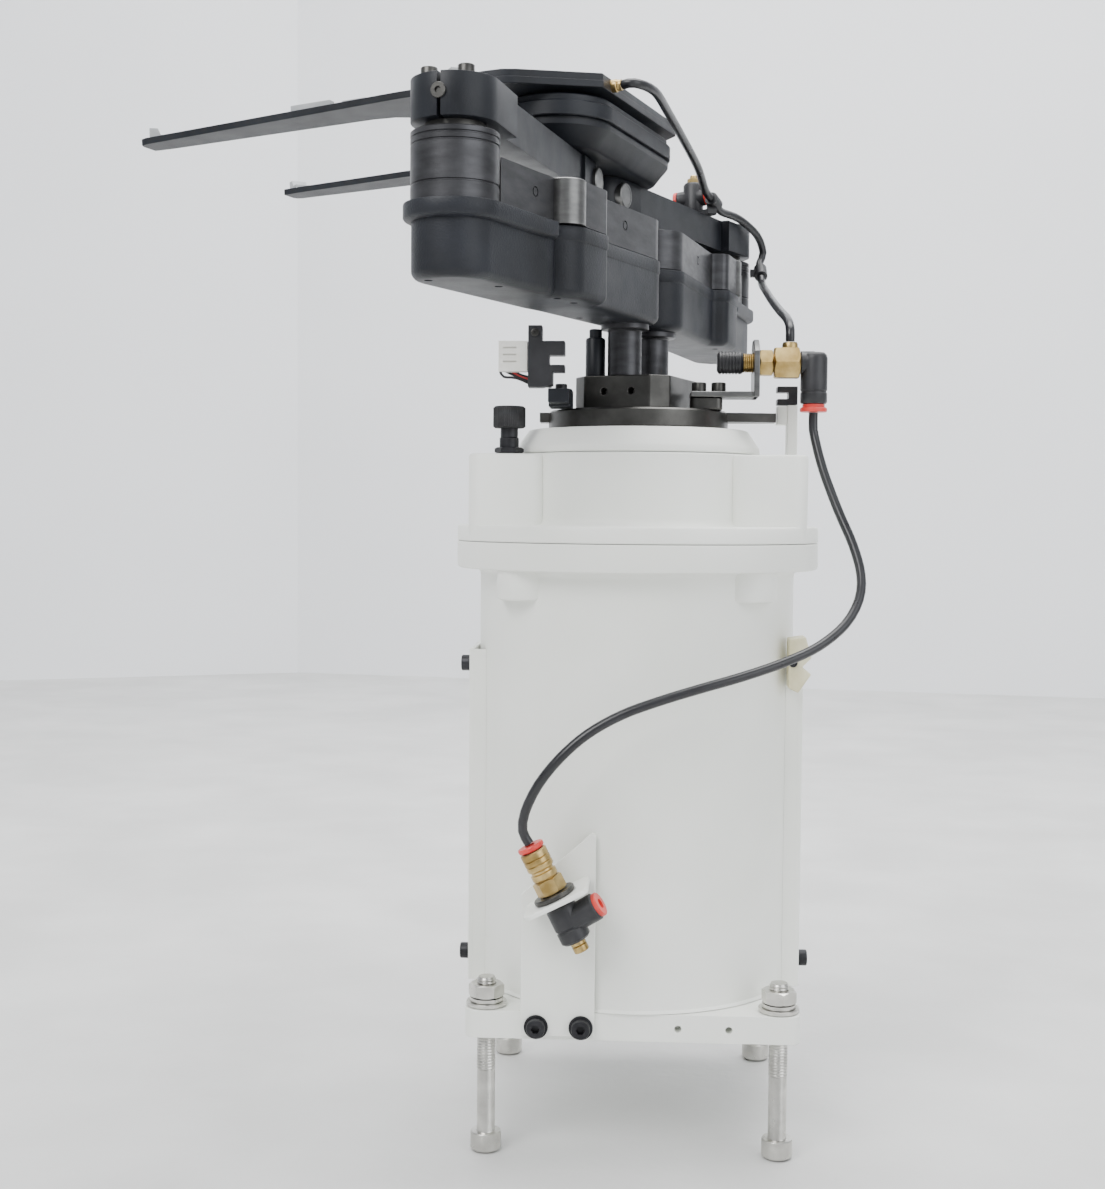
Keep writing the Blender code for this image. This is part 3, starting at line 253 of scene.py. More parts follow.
def piece(name, fill, finish, body, matrix=None, replaces=None, edge=0.0, cutters=(), joins=(),
        smooth_deg=35.0):
    """A finished piece that rides on a body; edge is the width of its rounded edges in millimetres.

    A piece called NODE_skin stands for the CAD node NODE, if there is one, unless replaces says otherwise.
    """
    if replaces is None:
        node = name.removesuffix("_skin")
        replaces = [node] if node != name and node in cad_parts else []
    thing = make(name, fill, finish, matrix, smooth_deg)
    changes = [("UNION", tool) for tool in joins] + [("DIFFERENCE", tool) for tool in cutters]
    if changes:
        bake_shape(thing, changes, smooth_deg)
    if edge:
        change = thing.modifiers.new("rounded_edges", "BEVEL")
        change.width = edge * MM
        change.segments = 3
        change.limit_method = "ANGLE"
        change.angle_limit = radians(38)
        change.use_clamp_overlap = True
        even = thing.modifiers.new("even_normals", "WEIGHTED_NORMAL")
        even.keep_sharp = False
    return attach(thing, body, replaces)


def add_prism(work, outline, low, high):
    bottom = [work.verts.new((x, y, low)) for x, y in outline]
    top = [work.verts.new((x, y, high)) for x, y in outline]
    work.faces.new(list(reversed(bottom)))
    work.faces.new(top)
    count = len(outline)
    for i in range(count):
        j = (i + 1) % count
        work.faces.new((bottom[i], bottom[j], top[j], top[i]))


def add_turned(work, profile, steps):
    rings = []
    for radius, height in profile:
        if radius < 1e-6:
            rings.append([work.verts.new((0, 0, height))])
            continue
        rings.append([work.verts.new((radius * cos(2 * pi * k / steps), radius * sin(2 * pi * k / steps),
            height)) for k in range(steps)])
    pairs = list(zip(rings, rings[1:]))
    if profile[0][0] > 1e-6 and profile[-1][0] > 1e-6:
        pairs.append((rings[-1], rings[0]))
    for one, two in pairs:
        for k in range(steps):
            j = (k + 1) % steps
            corners = list(dict.fromkeys([one[k % len(one)], one[j % len(one)], two[j % len(two)],
                two[k % len(two)]]))
            if len(corners) > 2:
                work.faces.new(corners)


def inset(outline, distance):
    moved = []
    count = len(outline)
    for i in range(count):
        before, here, after = (Vector(outline[k]) for k in (i - 1, i, (i + 1) % count))
        one = (here - before).normalized()
        two = (after - here).normalized()
        normal = Vector((-(one.y + two.y), one.x + two.x))
        if normal.length < 1e-6:
            normal = Vector((-one.y, one.x))
        normal.normalize()
        share = max(0.5, normal.dot(Vector((-one.y, one.x))))
        moved.append(tuple(here + normal * distance / share))
    return moved


def add_levels(work, outline, levels):
    rings = []
    for height, distance in levels:
        shape = inset(outline, distance) if distance else outline
        rings.append([work.verts.new((x, y, height)) for x, y in shape])
    work.faces.new(list(reversed(rings[0])))
    work.faces.new(rings[-1])
    count = len(outline)
    for low, high in zip(rings, rings[1:]):
        for i in range(count):
            j = (i + 1) % count
            work.faces.new((low[i], low[j], high[j], high[i]))


def cylinder(radius, low, high):
    """The profile of a plain cylinder, to be turned."""
    return [(0, low), (radius, low), (radius, high), (0, high)]


def rectangle(x0, x1, y0, y1):
    return [(x0, y0), (x1, y0), (x1, y1), (x0, y1)]


def arc(cx, cy, radius, start_deg, end_deg, steps):
    return [(cx + radius * cos(radians(start_deg + (end_deg - start_deg) * k / steps)),
        cy + radius * sin(radians(start_deg + (end_deg - start_deg) * k / steps))) for k in range(steps + 1)]


def rounded(x0, x1, y0, y1, radius, steps=8):
    return (arc(x1 - radius, y0 + radius, radius, -90, 0, steps) + arc(x1 - radius, y1 - radius, radius, 0,
        90, steps) + arc(x0 + radius, y1 - radius, radius, 90, 180, steps)
        + arc(x0 + radius, y0 + radius, radius, 180, 270, steps))


def link_outline(length, near_r, far_r, steps=32):
    lean = degrees(asin((near_r - far_r) / length))
    return (arc(0, 0, near_r, 90 - lean, 270 + lean, steps)
        + arc(length, 0, far_r, -90 + lean, 90 - lean, steps))


def mirrored(outline, sign):
    return outline if sign > 0 else [(x, -y) for x, y in reversed(outline)]


def turned(name, profile, finish, body, steps=64, matrix=None, **more):
    return piece(name, lambda work: add_turned(work, profile, steps), finish, body, matrix, **more)


def prism(name, outline, low, high, finish, body, matrix=None, **more):
    return piece(name, lambda work: add_prism(work, outline, low, high), finish, body, matrix, **more)


def tool_turned(profile, steps=48, matrix=None):
    return make("tool", lambda work: add_turned(work, profile, steps), None, matrix)


def tool_prism(outline, low, high, matrix=None):
    return make("tool", lambda work: add_prism(work, outline, low, high), None, matrix)


SIDEWAYS = Matrix.Rotation(radians(90), 3, "X")


def upright_at(y):
    """Stands a flat outline up in the XZ plane; it grows from y towards the front."""
    return place_matrix((0, y, 0), tilt=SIDEWAYS)


def cap_screw(name, matrix, head_r, head_h, body, finish=SCREW):
    """A socket cap screw's head with its chamfered rim and a hexagon socket."""
    socket = 0.47 * head_r
    rim = 0.14 * head_r
    profile = [(0, -0.4), (head_r, -0.4), (head_r, head_h - rim), (head_r - 0.4 * rim, head_h - 0.3 * rim),
        (head_r - rim, head_h), (0, head_h)]
    hexagon = tool_turned(cylinder(socket, head_h * 0.45, head_h + 1), 6, matrix)
    return turned(name, profile, finish, body, 32, matrix, cutters=[hexagon], smooth_deg=30)


def threaded(name, radius, low, high, pitch, finish, body, matrix):
    """A threaded shank as closely spaced ridges."""
    profile = [(0, low)]
    z = low
    while z < high - pitch:
        profile += [(radius * 0.9, z), (radius, z + pitch * 0.35), (radius, z + pitch * 0.6),
            (radius * 0.9, z + pitch * 0.95)]
        z += pitch
    profile += [(radius * 0.86, high), (0, high)]
    return turned(name, profile, finish, body, 28, matrix, smooth_deg=50)


def hexagon(name, matrix, flats, low, high, finish, body, bore=0.0):
    """A hexagon nut with its corners turned down at both ends."""
    outer = flats / 2 / cos(pi / 6)
    flat = flats / 2
    cone = tool_turned([(0, low - 1), (flat * 0.97, low - 0.001), (outer + 0.1, low + (outer - flat) * 0.75),
        (outer + 0.1, high - (outer - flat) * 0.75), (flat * 0.97, high + 0.001), (0, high + 1)], 48, matrix)
    start = [(bore, low), (outer, low), (outer, high), (bore, high)]
    thing = make(name, lambda work: add_turned(work, start, 6), finish, matrix)
    bake_shape(thing, [("INTERSECT", cone)], 24)
    return attach(thing, body, ())


# ---------------------------------------------------------------- camera, light and stage

SENSOR_WIDTH, LENS = 36.0, 48.44
EYE = Vector((0, -721.0, 217.8))
YAW_DEG, PITCH_DEG, ROLL_DEG = 3.0, -2.92, 0.45


def camera():
    data = bpy.data.cameras.new("camera")
    data.sensor_width = SENSOR_WIDTH
    data.lens = LENS
    eye = bpy.data.objects.new("camera", data)
    bpy.context.collection.objects.link(eye)
    yaw, pitch, roll = (radians(angle) for angle in (YAW_DEG, PITCH_DEG, ROLL_DEG))
    eye.location = EYE * MM
    eye.rotation_euler = (Matrix.Rotation(yaw, 3, "Z") @ Matrix.Rotation(pi / 2 + pitch, 3, "X")
        @ Matrix.Rotation(roll, 3, "Z")).to_euler()
    bpy.context.scene.camera = eye


def lamp(name, spot, aim, size, power, tint=(1, 1, 1)):
    data = bpy.data.lights.new(name, "AREA")
    data.shape = "DISK"
    data.size = size
    data.energy = power
    data.color = tint
    light = bpy.data.objects.new(name, data)
    bpy.context.collection.objects.link(light)
    light.location = spot
    light.rotation_euler = (Vector(aim) - Vector(spot)).to_track_quat("-Z", "Y").to_euler()


def stage():
    def floor_fill(work):
        corners = [(-4200, -2600), (4200, -2600), (4200, 2300), (-4200, 2300)]
        work.faces.new([work.verts.new((x, y, BOLT_FOOT_Z - 0.3)) for x, y in corners])

    floor = make("floor", floor_fill, FLOOR)
    corner_x, corner_y = -560.0, 1900.0
    for name, (x0, y0), (x1, y1) in (("wall_left", (-3400, 700), (corner_x, corner_y)),
            ("wall_back", (corner_x, corner_y), (3400, 1200))):
        wall = make(name, lambda work, a=(x0, y0), b=(x1, y1): work.faces.new([
            work.verts.new((*a, BOLT_FOOT_Z - 0.3)), work.verts.new((*b, BOLT_FOOT_Z - 0.3)),
            work.verts.new((*b, 2600)), work.verts.new((*a, 2600))]), WALL)
    world = bpy.data.worlds.new("studio")
    world.use_nodes = True
    sky = world.node_tree.nodes["Background"]
    sky.inputs["Color"].default_value = (0.93, 0.96, 1.0, 1.0)
    sky.inputs["Strength"].default_value = 0.62
    bpy.context.scene.world = world
    lamp("key", (-0.9, -1.3, 1.5), (0, 0, 0.18), 1.3, 34.0)
    lamp("fill", (1.3, -1.1, 0.8), (0, 0, 0.2), 1.6, 16.0, (0.96, 0.98, 1.0))
    lamp("top", (0.1, 0.2, 1.9), (0, 0, 0.2), 1.8, 26.0)
    lamp("wall_wash", (0.2, 0.4, 1.6), (0.1, 1.7, 0.4), 1.6, 34.0)


# ---------------------------------------------------------------- air tubes

TUBE_R = 2.0
FITTING_AXIS = Vector((-0.45, 0.0, 0.893)).normalized()
FITTING_SPOT = Vector((-31.0, -86.0, 63.5))
TURRET_PORT = (76.0, -18.0)
UNION_Z = 283.5
FORK_PORT_V, FORK_PORT_Y = -25.2, 36.0
FOREARM_CLIP = Vector((37.5, 110.0, 377.4))
FOREARM_CLIP_DIRECTION = Vector((0.40, 0.87, -0.30)).normalized()
ARM_CLIP = Vector((64.6, 147.0, 347.0))
ARM_CLIP_DIRECTION = Vector((0.02, -0.75, -0.66)).normalized()


def fork_matrix():
    return Matrix.Rotation(FORK_TURN, 3, "Z") @ Matrix.Rotation(radians(FORK_DROOP_DEG), 3, "Y")


def fork_spot(x, y, height):
    return WRIST_CENTRE + Vector((0, 0, FORK_Z)) + fork_matrix() @ Vector((x, y, height))


def smooth_path(points, step):
    ends = [2 * points[0] - points[1]] + points + [2 * points[-1] - points[-2]]
    path = []
    for k in range(1, len(ends) - 2):
        p0, p1, p2, p3 = ends[k - 1:k + 3]
        count = max(2, round((p2 - p1).length / step))
        for i in range(count):
            t = i / count
            path.append(0.5 * (2 * p1 + (p2 - p0) * t + (2 * p0 - 5 * p1 + 4 * p2 - p3) * t * t
                + (3 * p1 - p0 - 3 * p2 + p3) * t * t * t))
    path.append(points[-1])
    return path


def swept(path, radius, sides=20):
    """A closed tube mesh along a path, with its section carried along without twist."""
    def fill(work):
        along = (path[1] - path[0]).normalized()
        across = along.orthogonal().normalized()
        rings = []
        for k, spot in enumerate(path):
            ahead = (path[min(k + 1, len(path) - 1)] - path[max(k - 1, 0)]).normalized()
            across = (across - ahead * across.dot(ahead)).normalized()
            other = ahead.cross(across)
            rings.append([work.verts.new(spot + radius * (cos(2 * pi * i / sides) * across
                + sin(2 * pi * i / sides) * other)) for i in range(sides)])
        work.faces.new(list(reversed(rings[0])))
        work.faces.new(rings[-1])
        for one, two in zip(rings, rings[1:]):
            for i in range(sides):
                j = (i + 1) % sides
                work.faces.new((one[i], one[j], two[j], two[i]))
    return fill


def air_tube(name, points):
    """A tube swept along a smooth path through the points, in place of the CAD node of that name."""
    path = smooth_path([Vector(p) for p in points], 4.0)
    tube = make(name + "_tube_skin", swept(path, TUBE_R), TUBE, smooth_deg=60)
    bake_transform(tube)
    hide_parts(name)


def air_tubes():
    ring = Vector((*TURRET_PORT, 262.1))
    start = FITTING_SPOT + FITTING_AXIS * 24.1
    air_tube("supply_tube", [
        start, start + FITTING_AXIS * 6.0, (-43.4, -88.5, 98.5), (-38.0, -92.0, 110.0), (-29.4, -93.0, 121.0),
        (-18.5, -92.0, 130.6), (-5.1, -90.0, 138.1), (9.9, -88.0, 143.6), (25.7, -85.0, 148.3),
        (42.6, -80.0, 152.8), (59.5, -73.0, 158.0), (74.3, -65.0, 164.0), (86.1, -57.0, 172.6),
        (92.6, -50.0, 182.6), (94.1, -44.0, 192.8), (91.5, -37.0, 205.2), (85.8, -30.0, 220.0),
        (79.9, -24.0, 237.2), (76.6, -18.8, 251.5), (TURRET_PORT[0], TURRET_PORT[1], 256.5), ring])
    back = fork_matrix() @ Vector((-1, 0, 0))
    port = fork_spot(FORK_PORT_V, FORK_PORT_Y, YOKE_THICK / 2) + back * 4.7
    air_tube("wrist_tube", [
        port, port + back * 5.0, (5.5, -24.0, 398.6), (12.5, 8.0, 396.6), (20.0, 42.0, 393.0),
        (28.0, 76.0, 387.5),
        FOREARM_CLIP - FOREARM_CLIP_DIRECTION * 12.0, FOREARM_CLIP - FOREARM_CLIP_DIRECTION * 4.6])
    air_tube("elbow_tube", [
        FOREARM_CLIP + FOREARM_CLIP_DIRECTION * 4.6, FOREARM_CLIP + FOREARM_CLIP_DIRECTION * 11.0,
        (52.0, 134.0, 373.0), (62.4, 148.0, 367.0), (66.4, 156.0, 359.0),
        ARM_CLIP - ARM_CLIP_DIRECTION * 9.0, ARM_CLIP - ARM_CLIP_DIRECTION * 4.6])
    union_top = UNION_Z + 7.4 * cos(pi / 6) + 2.9
    air_tube("arm_tube", [ARM_CLIP + ARM_CLIP_DIRECTION * 4.6, ARM_CLIP + ARM_CLIP_DIRECTION * 11.0,
        (64.8, 118.0, 334.0), (64.6, 70.0, 322.0), (65.0, 25.0, 311.0), (65.3, -3.0, 304.5),
        (65.5, -15.0, 300.0), (65.5, TURRET_PORT[1], union_top + 3.5), (65.5, TURRET_PORT[1], union_top)])


# ---------------------------------------------------------------- drum and base

CORNERS = [(sx * BOLT_SPACING, sy * BOLT_SPACING) for sx in (-1, 1) for sy in (-1, 1)]


def base():
    tools = [tool_turned(cylinder(5.0, -2, 14), 32, place_matrix((x, y, 0))) for x, y in CORNERS]
    for x in (19.0, 40.0):
        tools.append(tool_turned(cylinder(1.5, -1.0, 6.0), 20, at((x, -BASE_HALF, 5.5), (0, 1, 0))))
    prism("base_plate_skin", rounded(-BASE_HALF, BASE_HALF, -BASE_HALF, BASE_HALF, 5.0), 0.0, BASE_TOP,
        WHITE, "base", cutters=tools, edge=0.7)
    inner = DRUM_R - 6.2
    drum = [(inner, BASE_TOP + GAP), (DRUM_R, BASE_TOP + GAP), (DRUM_R, FLANGE_LOW_Z - 3.0)]
    drum += [(DRUM_R + 3.0 - 3.0 * cos(a), FLANGE_LOW_Z - 3.0 + 3.0 * sin(a))
        for a in (radians(22.5 * k) for k in range(1, 5))]
    drum += [(FLANGE_R - 1.5, FLANGE_LOW_Z), (FLANGE_R - 0.4, FLANGE_LOW_Z + 0.5),
        (FLANGE_R, FLANGE_LOW_Z + 1.5), (FLANGE_R, SEAM_Z - 0.5), (FLANGE_R - 0.4, SEAM_Z), (inner, SEAM_Z)]
    lugs = []
    for i in range(4):
        angle = radians(45 + 90 * i)
        spot = (67.0 * cos(angle), 67.0 * sin(angle), 0)
        lugs.append(tool_turned([(0, 181.0), (9.6, 181.0), (10.9, 181.5), (11.5, 182.6),
            (11.5, FLANGE_LOW_Z + 2.0), (0, FLANGE_LOW_Z + 2.0)], 48, place_matrix(spot)))
    hollow = tool_turned(cylinder(inner, BASE_TOP - 1, SEAM_Z + 1), 128)
    turned("drum_skin", drum, WHITE, "base", 128, joins=lugs, cutters=[hollow], replaces=["drum_housing"],
        smooth_deg=32)
    sill = [(DRUM_R - 0.5, BASE_TOP + GAP), (DRUM_R + 1.1, BASE_TOP + GAP), (DRUM_R + 0.4, BASE_TOP + 1.2),
        (DRUM_R - 0.5, BASE_TOP + 1.8)]
    turned("drum_foot_bead", sill, WHITE, "base", 128)

    inner = HOUSING_R - 5.2
    housing = [(inner, SEAM_Z + GAP), (FLANGE_R - 0.4, SEAM_Z + GAP), (FLANGE_R, SEAM_Z + 0.8),
        (FLANGE_R, FLANGE_HIGH_Z - 1.5), (FLANGE_R - 0.5, FLANGE_HIGH_Z - 0.4),
        (FLANGE_R - 1.6, FLANGE_HIGH_Z), (HOUSING_R + 3.0, FLANGE_HIGH_Z)]
    housing += [(HOUSING_R + 3.0 - 3.0 * sin(a), FLANGE_HIGH_Z + 3.0 - 3.0 * cos(a))
        for a in (radians(22.5 * k) for k in range(1, 5))]
    housing += [(HOUSING_R, HOUSING_TOP_Z - 0.6), (HOUSING_R - 0.6, HOUSING_TOP_Z), (inner, HOUSING_TOP_Z)]
    columns = []
    for sx, sy in ((-1, -1), (1, -1), (1, 1), (-1, 1)):
        x0, x1 = sorted((sx * 40.0, sx * (COLUMN_X + 11.5)))
        y0, y1 = sorted((sy * (COLUMN_Y - 12.0), sy * (COLUMN_Y + 11.0)))
        outline = rounded(x0, x1, y0, y1, 7.0, 8)
        columns.append(make("tool", lambda work, o=outline: add_levels(work, o, [
            (FLANGE_HIGH_Z - 2.0, 0.0), (HOUSING_TOP_Z - 2.0, 0.0), (HOUSING_TOP_Z - 1.0, 0.4),
            (HOUSING_TOP_Z - 0.5, 1.4)])))
    hollow = tool_turned(cylinder(inner, SEAM_Z - 1, HOUSING_TOP_Z + 1), 128)
    turned("upper_housing_skin", housing, WHITE, "base", 128, joins=columns, cutters=[hollow], smooth_deg=32)
    low = HOUSING_TOP_Z + GAP
    cap = [(21.0, low), (53.6, low), (54.2, low + 0.6), (54.2, low + 2.4), (53.7, low + 3.4),
        (49.6, CAP_TOP_Z - 1.2), (48.9, CAP_TOP_Z - 0.3), (47.9, CAP_TOP_Z), (21.0, CAP_TOP_Z)]
    turned("top_cap_skin", cap, WHITE, "base", 128)

    for side, sx in (("left", -1), ("right", 1)):
        x0, x1 = sorted((sx * (DRUM_R + GAP), sx * (DRUM_R + 2.6)))
        prism(f"side_cover_{side}_skin", rectangle(x0, x1, -26.0, 26.0), BASE_TOP + GAP, 158.5, WHITE,
            "base", edge=0.5)
        for end in (-1, 1):
            r0, r1 = sorted((sx * (DRUM_R - 4.9), sx * (DRUM_R + 1.0)))
            y0, y1 = sorted((end * 24.6, end * 25.9))
            prism(f"side_cover_return_{side}_{'front' if end < 0 else 'rear'}", rectangle(r0, r1, y0, y1),
                BASE_TOP + GAP, 158.0, WHITE, "base")
        heights = (23.0, 151.5) if sx < 0 else (23.0,)
        for z in heights:
            for y in (-20.0, 20.0):
                cap_screw(f"cover_screw_{side}_{round(z)}_{'front' if y < 0 else 'rear'}",
                    at((sx * (DRUM_R + 2.6), y, z), (sx, 0, 0)), 3.5, 4.0, "base")

    under = BOLT_FOOT_Z + BOLT_HEAD_H
    seat = BASE_TOP + GAP
    for i, (x, y) in enumerate(CORNERS):
        move = place_matrix((x, y, 0), turn=0.35 * i)
        socket = tool_turned(cylinder(3.4, BOLT_FOOT_Z - 1, BOLT_FOOT_Z + 4), 6, move)
        head = [(0, BOLT_FOOT_Z), (BOLT_HEAD_R - 0.9, BOLT_FOOT_Z), (BOLT_HEAD_R, BOLT_FOOT_Z + 0.9),
            (BOLT_HEAD_R, under - 0.4), (BOLT_HEAD_R - 0.4, under), (BOLT_R, under),
            (BOLT_R - 0.2, under + 0.5), (BOLT_R - 0.2, -16.0), (BOLT_R * 0.9, -15.4), (0, -15.4)]
        turned(f"mounting_bolt_{i + 1}_skin", head, STAINLESS, "base", 48, move, cutters=[socket],
            smooth_deg=30)
        threaded(f"bolt_thread_{i + 1}", BOLT_R, -15.6, 23.6, 1.25, STAINLESS, "base", move)
        turned(f"bolt_washer_{i + 1}",
            [(4.4, seat), (8.3, seat), (8.5, seat + 0.2), (8.5, seat + 1.4), (8.3, seat + 1.6),
            (4.4, seat + 1.6)], STAINLESS, "base", 48, move)
        spring_gap = tool_prism(rectangle(4.0, 9.0, -0.4, 0.4), seat + 1.0, seat + 4.0, move)
        turned(f"bolt_spring_washer_{i + 1}", [(4.5, seat + 1.8), (7.0, seat + 1.8), (7.0, seat + 3.3),
            (4.5, seat + 3.3)], STAINLESS, "base", 40, move, cutters=[spring_gap])
        hexagon(f"bolt_nut_{i + 1}", move, NUT_FLATS, seat + 3.5, seat + 9.0, STAINLESS, "base", bore=4.3)

    prism("cable_panel", rounded(-20.0, 38.0, 3.0, 29.0, 4.0), GAP, 2.7, PLASTIC, "base",
        replaces=["cable_sockets"], edge=0.3)
    for k, (x, y, r, depth) in enumerate(((12.0, 12.0, 9.0, 21.0), (-11.0, 16.0, 5.0, 14.0),
            (30.0, 20.0, 6.0, 13.0))):
        profile = [(0, -depth + 4.0), (0.62 * r, -depth + 4.0), (0.62 * r, -depth + 0.8), (0.74 * r, -depth),
            (r - 0.9, -depth), (r, -depth + 0.8)]
        z = -depth + 1.6
        while z < -7.5:
            profile += [(r, z), (r * 0.93, z + 0.5), (r * 0.93, z + 0.9), (r, z + 1.3)]
            z += 2.0
        profile += [(r * 0.86, -6.4), (r * 0.86, -5.4), (r, -5.0), (r, 1.4), (0, 1.4)]
        turned(f"cable_socket_{k + 1}", profile, PLASTIC, "base", 40, place_matrix((x, y, 0)))
        for j in range(6):
            a = j * pi / 3
            pin = (x + 0.36 * r * cos(a), y + 0.36 * r * sin(a), -depth + 4.2)
            turned(f"socket_{k + 1}_pin_{j + 1}",
                [(0, -2.6), (0.35, -2.5), (0.5, -2.0), (0.5, 0.4), (0, 0.4)], BRASS, "base",
                12, place_matrix(pin))


def tube_bracket():
    plate_y = -BASE_HALF - GAP
    outline = [(-46.0, 2.0), (-15.4, 2.0), (-15.4, 86.0), (-17.0, 87.0), (-46.0, 61.0)]
    prism("tube_bracket_skin", outline, 0.0, 2.0, WHITE, "base", upright_at(plate_y), edge=0.35)
    lean = Matrix.Rotation(-atan2(-FITTING_AXIS.x, FITTING_AXIS.z), 3, "Y")
    hole = tool_turned(cylinder(4.9, -6, 6), 32, place_matrix(FITTING_SPOT, tilt=lean))
    prism("bracket_tab", rounded(-14.0, 14.0, -12.0, 13.2, 4.0), -2.0, 0.0, WHITE, "base",
        place_matrix(FITTING_SPOT + Vector((0, 1.0, 0)), tilt=lean), cutters=[hole], edge=0.35)
    for k, x in enumerate((-39.5, -21.0)):
        cap_screw(f"bracket_screw_{k + 1}", at((x, plate_y - 2.0, 6.0), (0, -1, 0)), 3.9, 4.2, "base")
        turned(f"bracket_washer_{k + 1}", [(2.2, 0.02), (4.9, 0.02), (5.0, 0.2), (5.0, 0.8), (2.2, 0.8)],
            SCREW, "base", 32, at((x, plate_y - 2.0, 6.0), (0, -1, 0)))


def supply_fitting():
    axis = at(FITTING_SPOT, FITTING_AXIS)
    turned("supply_brass_skin", [
        (0, -3.0), (4.2, -3.0), (4.2, 9.0), (5.1, 9.1), (5.4, 9.6), (5.4, 11.6), (4.7, 12.0), (4.7, 12.8),
        (5.2, 13.2),
        (5.6, 13.8), (5.6, 15.2), (5.3, 15.5), (5.6, 15.9), (5.6, 17.6), (5.3, 17.9), (5.6, 18.3),
        (5.6, 20.6), (5.2, 21.0), (0, 21.0)], BRASS, "base", 48, axis)
    hexagon("supply_hex_nut", axis, 11.0, 2.5, 8.7, BRASS, "base")
    turned("supply_washer", [(4.4, GAP), (8.5, GAP), (8.8, 0.6), (8.8, 1.9), (8.4, 2.3), (4.4, 2.3)],
        DARK_STEEL, "base", 48, axis)
    turned("supply_ring_skin", [(2.2, 21.3), (4.6, 21.3), (5.4, 21.9), (5.5, 22.4), (5.5, 23.2), (5.2, 23.6),
        (2.2, 23.6)], RED, "base", 48, axis)
    side = Vector((0.83, -0.15, 0.53)).normalized()
    joint = at(FITTING_SPOT - 11.0 * FITTING_AXIS, side)
    barrel = tool_turned([(0, 0), (5.6, 0), (5.6, 13.4), (5.0, 14.0), (0, 14.0)], 48, joint)
    turned("supply_elbow_skin", [
        (0, -19.2), (5.2, -19.2), (6.3, -18.2), (6.3, -14.0), (5.9, -13.6), (5.9, -13.0), (6.3, -12.6),
        (6.3, -4.6), (5.6, -3.3), (0, -3.3)], PLASTIC, "base", 48, axis, joins=[barrel], smooth_deg=40)
    turned("supply_elbow_ring", [(0, 13.9), (4.8, 13.9), (5.0, 14.3), (5.0, 15.5), (4.7, 15.8), (2.1, 15.8),
        (2.1, 14.6), (0, 14.6)], RED, "base", 40, joint)
    turned("supply_plug", [(0, -24.0), (2.9, -24.0), (3.2, -23.7), (3.2, -21.4), (2.8, -21.1), (3.2, -20.8),
        (3.2, -19.0), (0, -19.0)], BRASS, "base", 32, axis)


def trim():
    x, y = -55.5, -29.0
    low = HOUSING_TOP_Z - 0.5 + GAP
    move = place_matrix((x, y, 0))
    hexagon("bumper_nut", move, 11.0, low, low + 2.6, SCREW, "base")
    turned("bumper_stem", [(0, low + 2.5), (4.2, low + 2.5), (4.2, low + 6.5), (3.8, low + 7.0),
        (3.8, 254.3), (0, 254.3)], SCREW, "base", 32, move)
    knurl = []
    for k in range(96):
        a = 2 * pi * k / 96
        r = 7.0 if k % 2 else 6.75
        knurl.append((r * cos(a), r * sin(a)))
    piece("bumper_head", lambda work: add_levels(work, knurl,
        [(254.2, 0.7), (254.8, 0.0), (262.8, 0.0), (263.6, 0.8)]),
        RUBBER, "base", move, replaces=["rotation_bumper"])
    prism("sensor_post_skin", rectangle(66.5, 71.0, 0.0, 9.0), FLANGE_HIGH_Z + GAP, 266.5, WHITE, "base",
        edge=0.4)
    prism("sensor_shelf", rectangle(62.0, 66.6, 0.3, 8.7), 258.0, 266.2, WHITE, "base", edge=0.4)
    outline = [(62.0, 266.8), (71.0, 266.8), (71.0, 275.0), (62.0, 275.0), (62.0, 272.4), (67.0, 272.4),
        (67.0, 269.4), (62.0, 269.4)]
    prism("home_sensor_skin", outline, 0.0, 8.4, PLASTIC, "base", upright_at(9.2), edge=0.3)
    low_x = DRUM_R + GAP
    outline = [(low_x, 144.0), (low_x + 4.0, 142.0), (low_x + 9.5, 150.0), (low_x + 5.5, 153.0),
        (low_x + 9.5, 157.0), (low_x + 7.0, 166.0), (low_x, 165.0)]
    prism("cable_clip_skin", outline, -6.0, 6.0, NYLON, "base",
        place_matrix((-5.1, -33.0, 0), tilt=SIDEWAYS), edge=0.6)
    cap_screw("clip_screw", at((66.8, -39.0, 155.0), (0, -1, 0)), 1.9, 1.6, "base")


# ---------------------------------------------------------------- turret

